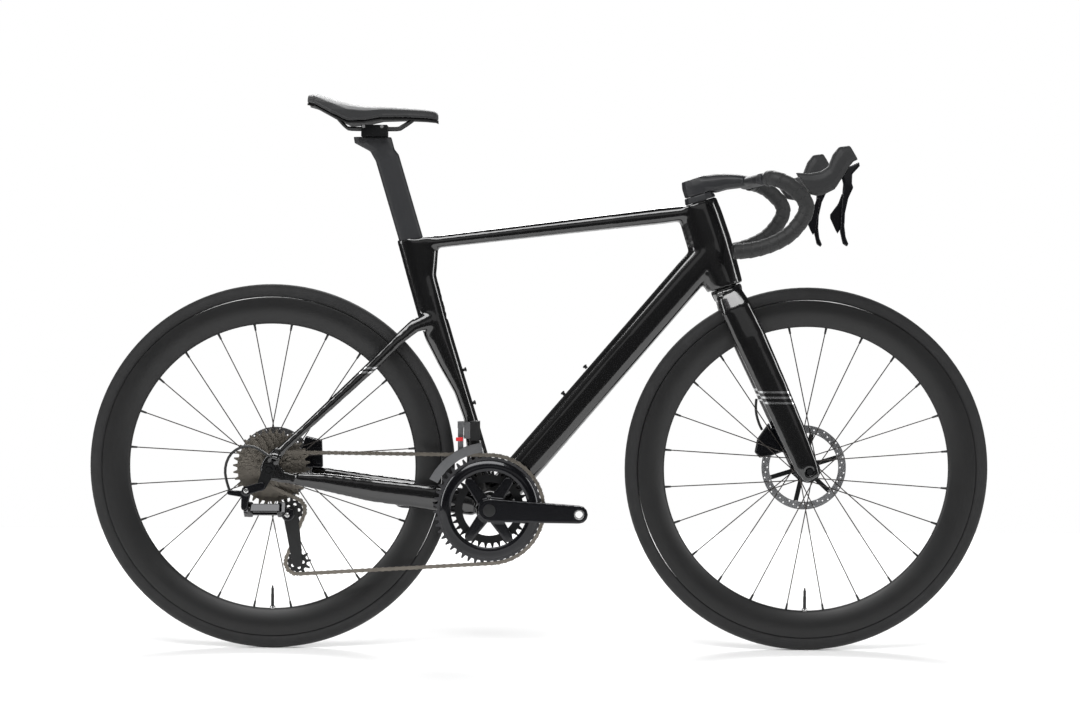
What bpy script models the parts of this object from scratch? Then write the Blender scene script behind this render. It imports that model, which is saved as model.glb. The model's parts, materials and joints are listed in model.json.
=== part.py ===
"""An aero road bike: carbon frame and fork, deep rims, disc brakes, two chainrings and twelve sprockets.

Metres, +X forward, +Y to the rider's left, +Z up. The origin is on the ground, midway between the wheels.
Each body that moves hangs from an empty that stands on its joint's axis.
"""

import math

import bmesh
import bpy
from mathutils import Matrix, Vector

# Wheels and stance
WHEELBASE = 1.000
WHEEL_RADIUS = 0.341
REAR_AXLE = Vector((-WHEELBASE / 2, 0, WHEEL_RADIUS))
FRONT_AXLE = Vector((WHEELBASE / 2, 0, WHEEL_RADIUS))
ROUND_STEPS = 32
TYRE_WIDTH = 0.029
TYRE_WALL = 0.0025
RIM_OUTER_RADIUS = 0.3165
RIM_DEPTH = 0.050
RIM_WIDTH = 0.0275
RIM_WALL = 0.003
VALVE_HOLE_RADIUS = 0.0035
SPOKES = 24
SPOKE_WIDTH = 0.0016
SPOKE_CROSSING_DEG = 60
FLANGE_RADIUS = 0.021
FRONT_FLANGES = (-0.034, 0.020)
REAR_FLANGES = (-0.0175, 0.033)
FLANGE_THICK = 0.0048
SPOKE_LAP = 0.0022
HUB_END_RADIUS = 0.010
HUB_WAIST_RADIUS = 0.0125
AXLE_RADIUS = 0.006
AXLE_HEAD_RADIUS = 0.0095
TYRE_WRAP_DEG = 132
FIT = 0.0003

# Disc brakes: each caliper stands behind a fork blade or on a chainstay
FRONT_ROTOR_RADIUS = 0.080
FRONT_ROTOR_Y = 0.0395
REAR_ROTOR_RADIUS = 0.070
REAR_ROTOR_Y = 0.056
ROTOR_THICK = 0.0018
ROTOR_TRACK = 0.015
ROTOR_SEAT_RADIUS = 0.017
CALIPER_HALF = 0.0118
PAD_SLOT = 0.0042
PAD_CLEARANCE = 0.0005
FRONT_CALIPER = ((0.4331, 0.4241), (0.4121, 0.3940), (0.4074, 0.3688), (0.4153, 0.3593), (0.4371, 0.3632), (0.4576, 0.3729))
FRONT_CALIPER_NOSE = ((0.4440, 0.4180), (0.4300, 0.4100), (0.4371, 0.3632), (0.4655, 0.3729))
FRONT_NOSE_Y = 0.0420
REAR_CALIPER = ((-0.4430, 0.3935), (-0.4127, 0.3861), (-0.4107, 0.3348), (-0.4520, 0.3361), (-0.4560, 0.3560))
FRONT_PAD = (0.064, 0.078, 143, 159)
REAR_PAD = (0.056, 0.070, 6, 28)
HOUSING_RADIUS = 0.0025
HOSE_ROUTE = (
    (0.4214, 0.0482, 0.4107),
    (0.4155, 0.0495, 0.4230),
    (0.4105, 0.0495, 0.4400),
    (0.4090, 0.0485, 0.4560),
    (0.4100, 0.0470, 0.4700),
)

# Front end
HEAD_ANGLE = math.radians(72.5)
FORK_RAKE = 0.045
FRONT_SPACING = 0.100
STEER_UP = Vector((-math.cos(HEAD_ANGLE), 0, math.sin(HEAD_ANGLE)))
STEER_FORWARD = Vector((math.sin(HEAD_ANGLE), 0, math.cos(HEAD_ANGLE)))
STEER_FOOT = FRONT_AXLE - FORK_RAKE * STEER_FORWARD
HEAD_BOTTOM = 0.3715
HEAD_TOP = 0.5385
BAR_HALF_WIDTH = 0.195
TAPE_RADIUS = 0.0145
BAR_RADIUS = 0.0115
STEERER_RADIUS = 0.0143
STEERER_WALL = 0.003
STEERER_TOP = 0.5575
CROWN_TOP = 0.3703
BEARING_RADIUS = 0.0205
LOWER_BEARING = (CROWN_TOP + FIT, 0.3780)
UPPER_BEARING = (0.5308, HEAD_TOP - FIT)
COVER_TOP = 0.5510
LEVER_PIVOT = Vector((0.5400, 0, 0.8920))
LEVER_WIDTH = 0.013
LEVER_PIN_RADIUS = 0.002
PADDLE_PIVOT = Vector((0.5405, 0, 0.8528))
PADDLE_THICK = 0.003
# The headset cover turns with the stem, so the frame leaves a round room for its corners
COVER_SWEEP = 0.033

# Frame
REAR_SPACING = 0.142
DROPOUT_THICK = 0.007
CRANK_AXIS = Vector((-0.094, 0, 0.267))
SEAT_ANGLE = math.radians(73.4)
SEAT_UP = Vector((-math.cos(SEAT_ANGLE), 0, math.sin(SEAT_ANGLE)))
SHELL_RADIUS = 0.0265
SHELL_WIDTH = 0.0865
POST_DEPTH = 0.046
POST_WIDTH = 0.020
COLLAR_RISE = 0.521
POST_INSERTION = 0.115
POST_BORE_SPARE = 0.052
POST_TOP = 0.957
SEAT_ACROSS = Vector((SEAT_UP.z, 0, -SEAT_UP.x))
WEDGE_HEIGHT = 0.030
WEDGE_WIDTH = 0.012
WEDGE_DEPTH = 0.011
CLAMP_WIDTH = 0.060
CLAMP_TOP = 0.9786
BRACKET_RADIUS = 0.0205
SPINDLE_RADIUS = 0.012
HOUSING_OUTLET = (-0.4955, -0.0810, 0.3650)

# Drivetrain
PITCH = 0.0127
CHAINLINE = -0.0485
OUTER_TEETH = 50
INNER_TEETH = 34
INNER_RING_Y = -0.0412
SPROCKETS = (11, 12, 13, 14, 15, 17, 19, 21, 24, 27, 30, 34)
CHAIN_SPROCKET = 4
SPROCKET_PITCH = 0.0035
PULLEY_TEETH = 11
TOOTH_THICK = 0.0018
SPROCKET_THICK = 0.0016
CORE_RADIUS = 0.0196
FREEHUB_RADIUS = 0.0172
FREEHUB_END_RADIUS = 0.010
FREEHUB_INNER_Y = -0.0212
CHAIN_LINKS = 110
CAGE_SWING = (-0.6, 0.6)
ROLLER_HALF = 0.0033
PLATE_HALF_HEIGHT = 0.0042
PLATE_INNER = 0.0013
PLATE_OUTER = 0.0024
TOOTH_TIP = 0.0034
TOOTH_ROOT = 0.0046
CRANK_LENGTH = 0.1665
CRANK_DROP = math.radians(2.5)
SPIDER_ANGLES = (56, 126, -126, -56)
CRANK_INNER_Y = 0.0590
CRANK_OUTER_Y = 0.0730
PEDAL_BORE = 0.00715
OUTER_RING_BORE = 0.0715
OUTER_FACE_RADIUS = 0.0915
INNER_RING_BORE = 0.0500
INNER_BOLT_RADIUS = 0.0560

# Front derailleur
FD_PIVOT_Y = -0.0340
FD_PIVOT_Z = 0.4020
FD_LINK_LENGTH = 0.022
FD_PIN = 0.0020
FD_BAND = (0.1075, 0.1245)
FD_HALF_GAP = 0.0057
FD_PLATE = 0.0012

# Rear derailleur
GUIDE_PULLEY = Vector((-0.4578, CHAINLINE, 0.2639))
CAGE_PIVOT = Vector((-0.4653, -0.066, 0.2580))
PULLEY_SPACING = 0.0975
HANGER_BOLT = Vector((-0.5135, 0, 0.3108))
LINK_BOLT = Vector((-0.5411, 0, 0.3029))
LINK_REAR = Vector((-0.5330, -0.0785, 0.2700))
LINK_LENGTH = 0.052
LINK_SLANT = math.radians(33)
LINK_GAP = 0.012
LINK_PIN = 0.0015
LINK_HALF = 0.003
LINK_SPAN = 0.008
EAR_END = 0.0114
EAR_HALF = 0.0035
WEB_GAP = 0.0042
HANGER_OUTER_Y = -0.0843
P_KNUCKLE_RADIUS = 0.0120
P_KNUCKLE_INNER_Y = -0.0553
CAGE_GAP = 0.0048
CAGE_THICK = 0.0016
CAGE_PIN = 0.0035
PULLEY_PIN = 0.003
HOUSING_INLET = Vector((-0.5720, -0.0850, 0.3040))
HOUSING_ROUTE = (
    (-0.4962, -0.0810, 0.3652),
    (-0.5065, -0.0818, 0.3705),
    (-0.5210, -0.0835, 0.3805),
    (-0.5360, -0.0850, 0.3850),
    (-0.5510, -0.0855, 0.3825),
    (-0.5680, -0.0855, 0.3715),
    (-0.5775, -0.0855, 0.3540),
    (-0.5797, -0.0853, 0.3350),
    (-0.5760, -0.0850, 0.3160),
    HOUSING_INLET,
)

# Saddle
SADDLE_REST = Vector((-0.315, 0, 0.972))
RAIL_GAP = 0.044
RAIL_RADIUS = 0.0035
SADDLE_PAD_THICK = 0.0110
SADDLE_SHELL_THICK = 0.0040
SADDLE_EDGE = 0.0020

PAINT = {
    "gloss_black": ("0B0B0D", 0.08, 0.0),
    "matt_black": ("1E1F22", 0.45, 0.0),
    "carbon": ("141415", 0.35, 0.0),
    "rubber": ("1C1D20", 0.75, 0.0),
    "tape": ("17181A", 0.85, 0.0),
    "anodised": ("15161A", 0.3, 0.8),
    "steel": ("8D8A86", 0.3, 1.0),
    "dark_steel": ("33302F", 0.35, 1.0),
    "silver": ("B9B9BA", 0.25, 1.0),
    "red_plastic": ("C7352A", 0.4, 0.0),
}


def clear_scene():
    for obj in list(bpy.data.objects):
        bpy.data.objects.remove(obj)


def srgb_to_linear(value):
    return value / 12.92 if value <= 0.04045 else ((value + 0.055) / 1.055) ** 2.4


def make_material(name):
    """A plain finish from the table of colours, or the one made before."""
    found = bpy.data.materials.get(name)
    if found:
        return found
    colour, roughness, metallic = PAINT[name]
    material = bpy.data.materials.new(name)
    material.use_nodes = True
    shader = material.node_tree.nodes["Principled BSDF"]
    channels = [srgb_to_linear(int(colour[i : i + 2], 16) / 255) for i in (0, 2, 4)]
    shader.inputs["Base Color"].default_value = (*channels, 1)
    shader.inputs["Roughness"].default_value = roughness
    shader.inputs["Metallic"].default_value = metallic
    return material


def add_object(name, bm, finish, sharp_deg=40):
    """Turns a closed bmesh into a shaded object."""
    bmesh.ops.recalc_face_normals(bm, faces=bm.faces)
    mesh = bpy.data.meshes.new(name)
    bm.to_mesh(mesh)
    bm.free()
    mesh.shade_smooth()
    mesh.set_sharp_from_angle(angle=math.radians(sharp_deg))
    obj = bpy.data.objects.new(name, mesh)
    obj.data.materials.append(make_material(finish))
    bpy.context.scene.collection.objects.link(obj)
    return obj


def loft(name, rings, finish, closed=False):
    """Skins rings of equal count, all bent faces split the same way. An open run gets end caps."""
    bm = bmesh.new()
    loops = [[bm.verts.new(point) for point in ring] for ring in rings]
    pairs = list(zip(loops, loops[1:]))
    if closed:
        pairs.append((loops[-1], loops[0]))
    bent = []
    for first, second in pairs:
        for i, vert in enumerate(first):
            j = (i + 1) % len(first)
            face = bm.faces.new((vert, first[j], second[j], second[i]))
            across = (first[j].co - vert.co).cross(second[j].co - vert.co).normalized()
            if abs(across.dot(second[i].co - vert.co)) > 1e-6:
                bent.append(face)
    bmesh.ops.triangulate(bm, faces=bent, quad_method="FIXED")
    if not closed:
        bm.faces.new(list(reversed(loops[0])))
        bm.faces.new(loops[-1])
    return add_object(name, bm, finish)


def turned_ring(name, profile, centre, finish, steps=ROUND_STEPS):
    """Spins a closed outline of (radius, y) round the Y axis through centre."""
    rings = []
    for step in range(steps):
        angle = 2 * math.pi * step / steps
        along_x, along_z = math.cos(angle), math.sin(angle)
        rings.append([centre + Vector((r * along_x, y, r * along_z)) for r, y in profile])
    return loft(name, rings, finish, closed=True)


def turned_solid(name, profile, centre, finish, steps=24, axis=Vector((0, 1, 0))):
    """A solid of (radius, distance) stations along an axis through centre."""
    turn = axis.to_track_quat("Z", "X").to_matrix()
    rings = []
    for radius, distance in profile:
        ring = []
        for step in range(steps):
            angle = 2 * math.pi * step / steps
            ring.append(centre + turn @ Vector((radius * math.cos(angle), radius * math.sin(angle), distance)))
        rings.append(ring)
    return loft(name, rings, finish)


def plate(name, loops, y_low, y_high, finish):
    """A flat plate in the XZ plane between two Y values. The first loop is its outline, the others its holes."""
    curve = bpy.data.curves.new(name, "CURVE")
    curve.dimensions = "2D"
    curve.fill_mode = "BOTH"
    curve.extrude = (y_high - y_low) / 2
    for points in loops:
        spline = curve.splines.new("POLY")
        spline.points.add(len(points) - 1)
        for slot, (x, z) in zip(spline.points, points):
            slot.co = (x, z, 0, 1)
        spline.use_cyclic_u = True
    guide = bpy.data.objects.new(name, curve)
    mesh = bpy.data.meshes.new_from_object(guide)
    bpy.data.objects.remove(guide)
    bm = bmesh.new()
    bm.from_mesh(mesh)
    bmesh.ops.remove_doubles(bm, verts=bm.verts, dist=1e-7)
    stand = Matrix.Translation((0, (y_low + y_high) / 2, 0)) @ Matrix.Rotation(math.pi / 2, 4, "X")
    bmesh.ops.transform(bm, matrix=stand, verts=bm.verts)
    return add_object(name, bm, finish)


def arc(centre_x, centre_z, radius, start_deg, end_deg, count):
    """Points on an arc in the XZ plane, both ends included."""
    points = []
    for i in range(count):
        angle = math.radians(start_deg + (end_deg - start_deg) * i / (count - 1))
        points.append((centre_x + radius * math.cos(angle), centre_z + radius * math.sin(angle)))
    return points


def circle(centre_x, centre_z, radius, count=16):
    return arc(centre_x, centre_z, radius, 0, 360 * (count - 1) / count, count)


def hull_of_discs(discs, count=6):
    """The outline that a belt takes round discs of (x, z, radius), as a convex loop."""
    points = sorted({p for x, z, r in discs for p in circle(x, z, r, count * 2)})
    halves = []
    for run in (points, points[::-1]):
        half = []
        for p in run:
            while len(half) > 1 and turn_of(half[-2], half[-1], p) <= 0:
                half.pop()
            half.append(p)
        halves.append(half[:-1])
    return halves[0] + halves[1]


def turn_of(a, b, c):
    return (b[0] - a[0]) * (c[1] - a[1]) - (b[1] - a[1]) * (c[0] - a[0])


def superellipse(width, depth, power, count, tail=1.0):
    """Section points as (across, deep) pairs. tail under 1 cuts the far end of the depth flat."""
    points = []
    for i in range(count):
        angle = 2 * math.pi * (i + 0.5) / count
        c, s = math.cos(angle), math.sin(angle)
        deep = math.copysign(abs(c) ** (2 / power), c) * depth / 2
        across = math.copysign(abs(s) ** (2 / power), s) * width / 2
        points.append((across, max(deep, -tail * depth / 2)))
    return points


def tube(name, stations, finish, power=2.6, count=12, tail=1.0):
    """A tube through stations of (x, y, z, width, depth); depth lies in the side view, width along Y."""
    rings = []
    centres = [Vector(s[:3]) for s in stations]
    for i, (x, y, z, width, depth) in enumerate(stations):
        run = centres[min(i + 1, len(centres) - 1)] - centres[max(i - 1, 0)]
        deep_way = Vector((run.z, 0, -run.x)).normalized()
        ring = []
        for across, deep in superellipse(width, depth, power, count, tail):
            ring.append(Vector((x, y + across, z)) + deep * deep_way)
        rings.append(ring)
    return loft(name, rings, finish)


def wire(name, points, radius, finish, resolution=2):
    """A round wire or hose along a smooth curve through points."""
    curve = bpy.data.curves.new(name, "CURVE")
    curve.dimensions = "3D"
    curve.bevel_depth = radius
    curve.bevel_resolution = resolution
    curve.use_fill_caps = True
    spline = curve.splines.new("POLY")
    smooth = smoothed(points, radius * 5)
    spline.points.add(len(smooth) - 1)
    for slot, point in zip(spline.points, smooth):
        slot.co = (*point, 1)
    guide = bpy.data.objects.new(name, curve)
    mesh = bpy.data.meshes.new_from_object(guide)
    bpy.data.objects.remove(guide)
    bm = bmesh.new()
    bm.from_mesh(mesh)
    bmesh.ops.remove_doubles(bm, verts=bm.verts, dist=1e-6)
    return add_object(name, bm, finish)


def smoothed(points, spacing):
    """Points on a Catmull-Rom curve through the given ones, about spacing apart."""
    p = [Vector(q) for q in points]
    p = [2 * p[0] - p[1], *p, 2 * p[-1] - p[-2]]
    out = []
    for a, b, c, d in zip(p, p[1:], p[2:], p[3:]):
        steps = max(2, round((c - b).length / spacing))
        for k in range(steps):
            t = k / steps
            out.append(
                0.5 * (2 * b + (c - a) * t + (2 * a - 5 * b + 4 * c - d) * t * t + (3 * b - a - 3 * c + d) * t**3)
            )
    out.append(p[-2])
    return out


def block(name, low, high, finish, turn=None, about=None):
    """A box between two corners, turned by a matrix about a point if asked."""
    bm = bmesh.new()
    bmesh.ops.create_cube(bm, size=1)
    low, high = Vector(low), Vector(high)
    size = high - low
    place = Matrix.Translation((low + high) / 2) @ Matrix.Diagonal((*size, 1))
    if turn is not None:
        place = Matrix.Translation(about) @ turn.to_4x4() @ Matrix.Translation(-Vector(about)) @ place
    bmesh.ops.transform(bm, matrix=place, verts=bm.verts)
    return add_object(name, bm, finish)


def combine(target, helper, operation="UNION"):
    """Adds or cuts helper, which then only guides the shape."""
    modifier = target.modifiers.new(helper.name, "BOOLEAN")
    modifier.operation = operation
    modifier.solver = "EXACT"
    modifier.object = helper
    helper.hide_render = True
    helper.display_type = "WIRE"
    return target


def cut(target, helper):
    return combine(target, helper, "DIFFERENCE")


def make_body(name, pivot, parts, parent=None):
    """An empty on the joint's axis that carries these parts, which stay where they are."""
    empty = bpy.data.objects.new(name + "_axis", None)
    empty.empty_display_size = 0.03
    bpy.context.scene.collection.objects.link(empty)
    empty.parent = parent
    empty["pivot"] = list(pivot)
    empty.location = Vector(pivot) - Vector(parent["pivot"] if parent else (0, 0, 0))
    for part in parts:
        part.data.transform(Matrix.Translation(-Vector(pivot)))
        part.parent = empty
    return empty


def steer_point(along, forward=0.0, y=0.0):
    """A point by its distance up the steering axis from the foot, and ahead of the axis."""
    return STEER_FOOT + along * STEER_UP + forward * STEER_FORWARD + Vector((0, y, 0))


def seat_point(along, forward=0.0, y=0.0):
    """A point by its distance up the seat tube from the crank axis, and ahead of the tube's axis."""
    ahead = Vector((SEAT_UP.z, 0, -SEAT_UP.x))
    return CRANK_AXIS + along * SEAT_UP + forward * ahead + Vector((0, y, 0))


def path_rings(points, radius, sides):
    """Round sections square to a path, with one side of each kept towards +Y."""
    rings = []
    for i, point in enumerate(points):
        along = (points[min(i + 1, len(points) - 1)] - points[max(i - 1, 0)]).normalized()
        side = (Vector((0, 1, 0)) - along.y * along).normalized()
        over = along.cross(side)
        ring = []
        for step in range(sides):
            angle = 2 * math.pi * (step + 0.5) / sides
            ring.append(point + radius * (math.cos(angle) * side + math.sin(angle) * over))
        rings.append(ring)
    return rings


def rod(name, points, radius, finish, sides=6):
    return loft(name, path_rings([Vector(p) for p in points], radius, sides), finish)


def sleeve(name, points, outer_radius, inner_radius, finish, sides=6):
    """A wall round a path from its second point on, open at both ends."""
    points = [Vector(p) for p in points]
    wall = rod(name, points[1:], outer_radius, finish, sides)
    past_end = points[-1] + 0.01 * (points[-1] - points[-2]).normalized()
    return cut(wall, rod(name + "_bore", [*points, past_end], inner_radius, finish, sides))


def gather(name, pieces, finish):
    """Puts separate solids in one helper mesh, for one Boolean."""
    bm = bmesh.new()
    for piece in pieces:
        bm.from_mesh(piece.data)
        bpy.data.objects.remove(piece)
    return add_object(name, bm, finish)


def pin(name, centre, radius, y_low, y_high, finish="steel", steps=12):
    """A round pin along Y through a point, between two Y values."""
    foot = Vector((centre[0], 0, centre[-1]))
    return turned_solid(name, [(radius, y_low), (radius, y_high)], foot, finish, steps)


def tooth_outline(centre, teeth, phase, slim):
    """A toothed rim. Slim teeth stand between a chain's rollers. Without them the rim is a
    polygon with a corner for each tooth."""
    pitch_radius = teeth * PITCH / (2 * math.pi)
    root, tip = pitch_radius - TOOTH_ROOT, pitch_radius + TOOTH_TIP
    gap = PITCH * (pitch_radius - PLATE_HALF_HEIGHT) / pitch_radius - 2 * ROLLER_HALF
    half = (gap / 2 - FIT) / root
    points = []
    for tooth in range(teeth):
        angle = phase + 2 * math.pi * tooth / teeth
        if slim:
            corners = ((root, angle - half), (tip, angle), (root, angle + half))
        else:
            corners = (((root + tip) / 2, angle),)
        for radius, turn in corners:
            points.append((centre.x + radius * math.cos(turn), centre.z + radius * math.sin(turn)))
    return points


def pitch_radius_of(teeth):
    return teeth * PITCH / (2 * math.pi)


def tension_pulley_at(cage_angle):
    """The lower pulley's centre when the cage hangs at this angle from straight down."""
    hang = Vector((math.sin(cage_angle), 0, -math.cos(cage_angle)))
    return GUIDE_PULLEY + PULLEY_SPACING * hang


def chain_runs(cage_angle):
    """The chain's line as straight runs and arcs, in the order that the chain travels."""
    wheels = (
        (REAR_AXLE, pitch_radius_of(SPROCKETS[CHAIN_SPROCKET]), 1),
        (CRANK_AXIS, pitch_radius_of(OUTER_TEETH), 1),
        (tension_pulley_at(cage_angle), pitch_radius_of(PULLEY_TEETH), 1),
        (GUIDE_PULLEY, pitch_radius_of(PULLEY_TEETH), -1),
    )
    headings = []
    for (start, r_start, s_start), (end, r_end, s_end) in zip(wheels, wheels[1:] + wheels[:1]):
        span = end - start
        reach = math.hypot(span.x, span.z)
        headings.append(math.atan2(span.z, span.x) - math.asin((r_start * s_start - r_end * s_end) / reach))
    runs = []
    for i, (centre, radius, spin) in enumerate(wheels):
        arrive, leave = headings[i - 1], headings[i]
        sweep = (spin * (arrive - leave)) % (2 * math.pi)
        runs.append(("arc", radius * sweep, centre, radius, spin, arrive + spin * math.pi / 2))
        following, r_next, s_next = wheels[(i + 1) % len(wheels)]
        normal = Vector((-math.sin(leave), 0, math.cos(leave)))
        start = centre + radius * spin * normal
        length = ((following + r_next * s_next * normal) - start).dot(Vector((math.cos(leave), 0, math.sin(leave))))
        runs.append(("line", length, start, leave))
    return runs


def chain_length(cage_angle):
    return sum(run[1] for run in chain_runs(cage_angle))


def settled_cage_angle():
    """The cage angle at which the chain's line is a whole number of links long."""
    low, high = CAGE_SWING
    for _ in range(50):
        middle = (low + high) / 2
        if chain_length(middle) > CHAIN_LINKS * PITCH:
            low = middle
        else:
            high = middle
    return (low + high) / 2


def chain_place(runs, distance):
    """The point, the heading and the kind of run at a distance along the chain."""
    distance %= sum(run[1] for run in runs)
    for run in runs:
        if distance <= run[1]:
            break
        distance -= run[1]
    if run[0] == "line":
        _, _, start, heading = run
        along = Vector((math.cos(heading), 0, math.sin(heading)))
        return start + distance * along, heading, "line"
    _, _, centre, radius, spin, angle = run
    angle -= spin * distance / radius
    spot = centre + radius * Vector((math.cos(angle), 0, math.sin(angle)))
    return spot, angle - spin * math.pi / 2, "arc"


def tooth_phase(runs, wheel):
    """The angle of a tooth that stands midway between two rollers, for the wheel of this number."""
    _, _, _, radius, spin, angle = runs[2 * wheel]
    before = sum(run[1] for run in runs[: 2 * wheel])
    return angle - spin * (PITCH / 2 - before) / radius


def make_chain(runs):
    """Two rows of plates with a roller at each pin, and at every third pin on the free runs."""
    bm = bmesh.new()
    lanes = (-PLATE_OUTER, -PLATE_INNER, PLATE_INNER, PLATE_OUTER)
    stations = []
    for link in range(CHAIN_LINKS):
        ends = [chain_place(runs, link * PITCH + side * ROLLER_HALF) for side in (-1, 1)]
        if link % 3 and all(kind == "line" for _, _, kind in ends):
            continue
        for spot, heading, _ in ends:
            normal = Vector((-math.sin(heading), 0, math.cos(heading)))
            rows = []
            for level in (-PLATE_HALF_HEIGHT, PLATE_HALF_HEIGHT):
                flat = Vector((spot.x, CHAINLINE, spot.z)) + level * normal
                rows.append([bm.verts.new(flat + Vector((0, lane, 0))) for lane in lanes])
            stations.append(rows)
    for i, (low, high) in enumerate(stations):
        next_low, next_high = stations[(i + 1) % len(stations)]
        strips = ((0, 3),) if i % 2 == 0 else ((0, 1), (2, 3))
        for first, last in strips:
            bm.faces.new((low[first], high[first], next_high[first], next_low[first]))
            bm.faces.new((low[last], next_low[last], next_high[last], high[last]))
            for lane in range(first, last):
                bm.faces.new((high[lane], high[lane + 1], next_high[lane + 1], next_high[lane]))
                bm.faces.new((low[lane], next_low[lane], next_low[lane + 1], low[lane + 1]))
        bm.faces.new((low[1], low[2], high[2], high[1]))
    return add_object("chain", bm, "steel")


def make_toothed_plate(name, centre, teeth, y, phase, slim, bore, finish, thick=TOOTH_THICK):
    loops = [tooth_outline(centre, teeth, phase, slim), circle(centre.x, centre.z, bore, 20)]
    return plate(name, loops, y - thick / 2, y + thick / 2, finish)


def make_cassette(runs):
    """Twelve sprockets on one core, with the chain's sprocket turned to suit it."""
    discs = []
    for i, teeth in enumerate(SPROCKETS):
        y = CHAINLINE + (i - CHAIN_SPROCKET) * SPROCKET_PITCH
        phase = tooth_phase(runs, 0) if i == CHAIN_SPROCKET else 0.0
        outline = tooth_outline(REAR_AXLE, teeth, phase, i == CHAIN_SPROCKET)
        half = SPROCKET_THICK / 2
        discs.append(plate(f"sprocket_{teeth}", [outline], y - half, y + half, "steel"))
    helper = gather("sprocket_shapes", discs, "steel")
    outer_y = CHAINLINE - CHAIN_SPROCKET * SPROCKET_PITCH - SPROCKET_PITCH / 2
    inner_y = outer_y + len(SPROCKETS) * SPROCKET_PITCH - SPROCKET_PITCH / 4
    core = pin("cassette", REAR_AXLE, CORE_RADIUS, outer_y, inner_y)
    combine(core, helper)
    room = (FREEHUB_RADIUS + FIT) / math.cos(math.pi / 12)
    bore = pin("cassette_bore", REAR_AXLE, room, outer_y - 0.01, inner_y + 0.01)
    freehub = turned_ring(
        "freehub",
        [
            (AXLE_RADIUS + FIT, FREEHUB_INNER_Y),
            (AXLE_RADIUS + FIT, FIT - REAR_SPACING / 2),
            (FREEHUB_END_RADIUS, FIT - REAR_SPACING / 2),
            (FREEHUB_END_RADIUS, outer_y),
            (FREEHUB_RADIUS, outer_y),
            (FREEHUB_RADIUS, FREEHUB_INNER_Y),
        ],
        REAR_AXLE,
        "anodised",
        16,
    )
    return cut(core, bore), freehub


def make_tyre(name, axle):
    """A round casing, open towards the rim that it stands on."""
    half = TYRE_WIDTH / 2
    middle = WHEEL_RADIUS - half
    outer, inner = [], []
    for step in range(9):
        angle = math.radians(-TYRE_WRAP_DEG + step * TYRE_WRAP_DEG / 4)
        outer.append((middle + half * math.cos(angle), half * math.sin(angle)))
        if step % 2 == 0:
            hollow = half - TYRE_WALL
            inner.append((middle + hollow * math.cos(angle), hollow * math.sin(angle)))
    return turned_ring(name, outer + inner[::-1], axle, "rubber")


def make_rim(name, axle):
    """A deep hollow rim, with the hole for the valve at its lowest point."""
    inner_radius = RIM_OUTER_RADIUS - RIM_DEPTH
    half = RIM_WIDTH / 2
    shape = [
        (RIM_OUTER_RADIUS, half),
        (RIM_OUTER_RADIUS - 0.35 * RIM_DEPTH, half * 1.02),
        (RIM_OUTER_RADIUS - 0.72 * RIM_DEPTH, half * 0.72),
        (inner_radius + 0.04 * RIM_DEPTH, half * 0.28),
    ]
    outer = [(r, -y) for r, y in shape] + shape[::-1]
    wall = RIM_WALL
    hollow = [
        (RIM_OUTER_RADIUS - wall, half - wall),
        (RIM_OUTER_RADIUS - 0.35 * RIM_DEPTH, half * 1.02 - wall),
        (inner_radius + 2 * wall, half * 0.25),
    ]
    skin = turned_ring(name, outer, axle, "carbon")
    void = turned_ring(name + "_hollow", [(r, -y) for r, y in hollow] + hollow[::-1], axle, "carbon")
    cut(skin, void)
    low, high = inner_radius - 0.01, RIM_OUTER_RADIUS + 0.01
    hole = turned_solid(
        name + "_valve_hole",
        [(VALVE_HOLE_RADIUS, low), (VALVE_HOLE_RADIUS, high)],
        axle,
        "carbon",
        10,
        Vector((0, 0, -1)),
    )
    return cut(skin, hole)


def make_spokes(name, axle, flanges):
    """Spokes laced across each other, as one helper mesh of thin bars."""
    bars = []
    rim_radius = RIM_OUTER_RADIUS - RIM_DEPTH - FIT
    for k in range(SPOKES):
        rim_angle = 360 / SPOKES * (k + 0.5)
        trail = -1 if (k // 2) % 2 else 1
        hub_angle = math.radians(rim_angle + trail * SPOKE_CROSSING_DEG)
        rim_angle = math.radians(rim_angle)
        foot = FLANGE_RADIUS - SPOKE_WIDTH
        start = axle + Vector((foot * math.cos(hub_angle), flanges[k % 2] + trail * SPOKE_LAP, foot * math.sin(hub_angle)))
        end = axle + Vector((rim_radius * math.cos(rim_angle), 0, rim_radius * math.sin(rim_angle)))
        bars.append(rod(f"{name}_spoke_{k}", [start, end], SPOKE_WIDTH / math.sqrt(2), "dark_steel", 4))
    return gather(name + "_spokes", bars, "dark_steel")


def make_hub(name, axle, flanges, left_end, right_end, rotor_y):
    """A hub shell with two flanges and a rotor seat, bored for its axle, and its spokes."""
    bore = AXLE_RADIUS + FIT
    rim = FLANGE_RADIUS + SPOKE_WIDTH
    half = FLANGE_THICK / 2
    right, left = flanges
    profile = [
        (bore, right_end),
        (HUB_END_RADIUS, right_end),
        (HUB_END_RADIUS, right - half),
        (rim, right - half),
        (rim, right + half),
        (HUB_WAIST_RADIUS, right + half),
        (HUB_WAIST_RADIUS, left - half),
        (rim, left - half),
        (rim, left + half),
        (ROTOR_SEAT_RADIUS, left + half),
        (ROTOR_SEAT_RADIUS, rotor_y + 0.0025),
        (HUB_END_RADIUS, rotor_y + 0.0025),
        (HUB_END_RADIUS, left_end),
        (bore, left_end),
    ]
    hub = turned_ring(name, profile, axle, "anodised", 16)
    return combine(hub, make_spokes(name, axle, flanges))


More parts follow.
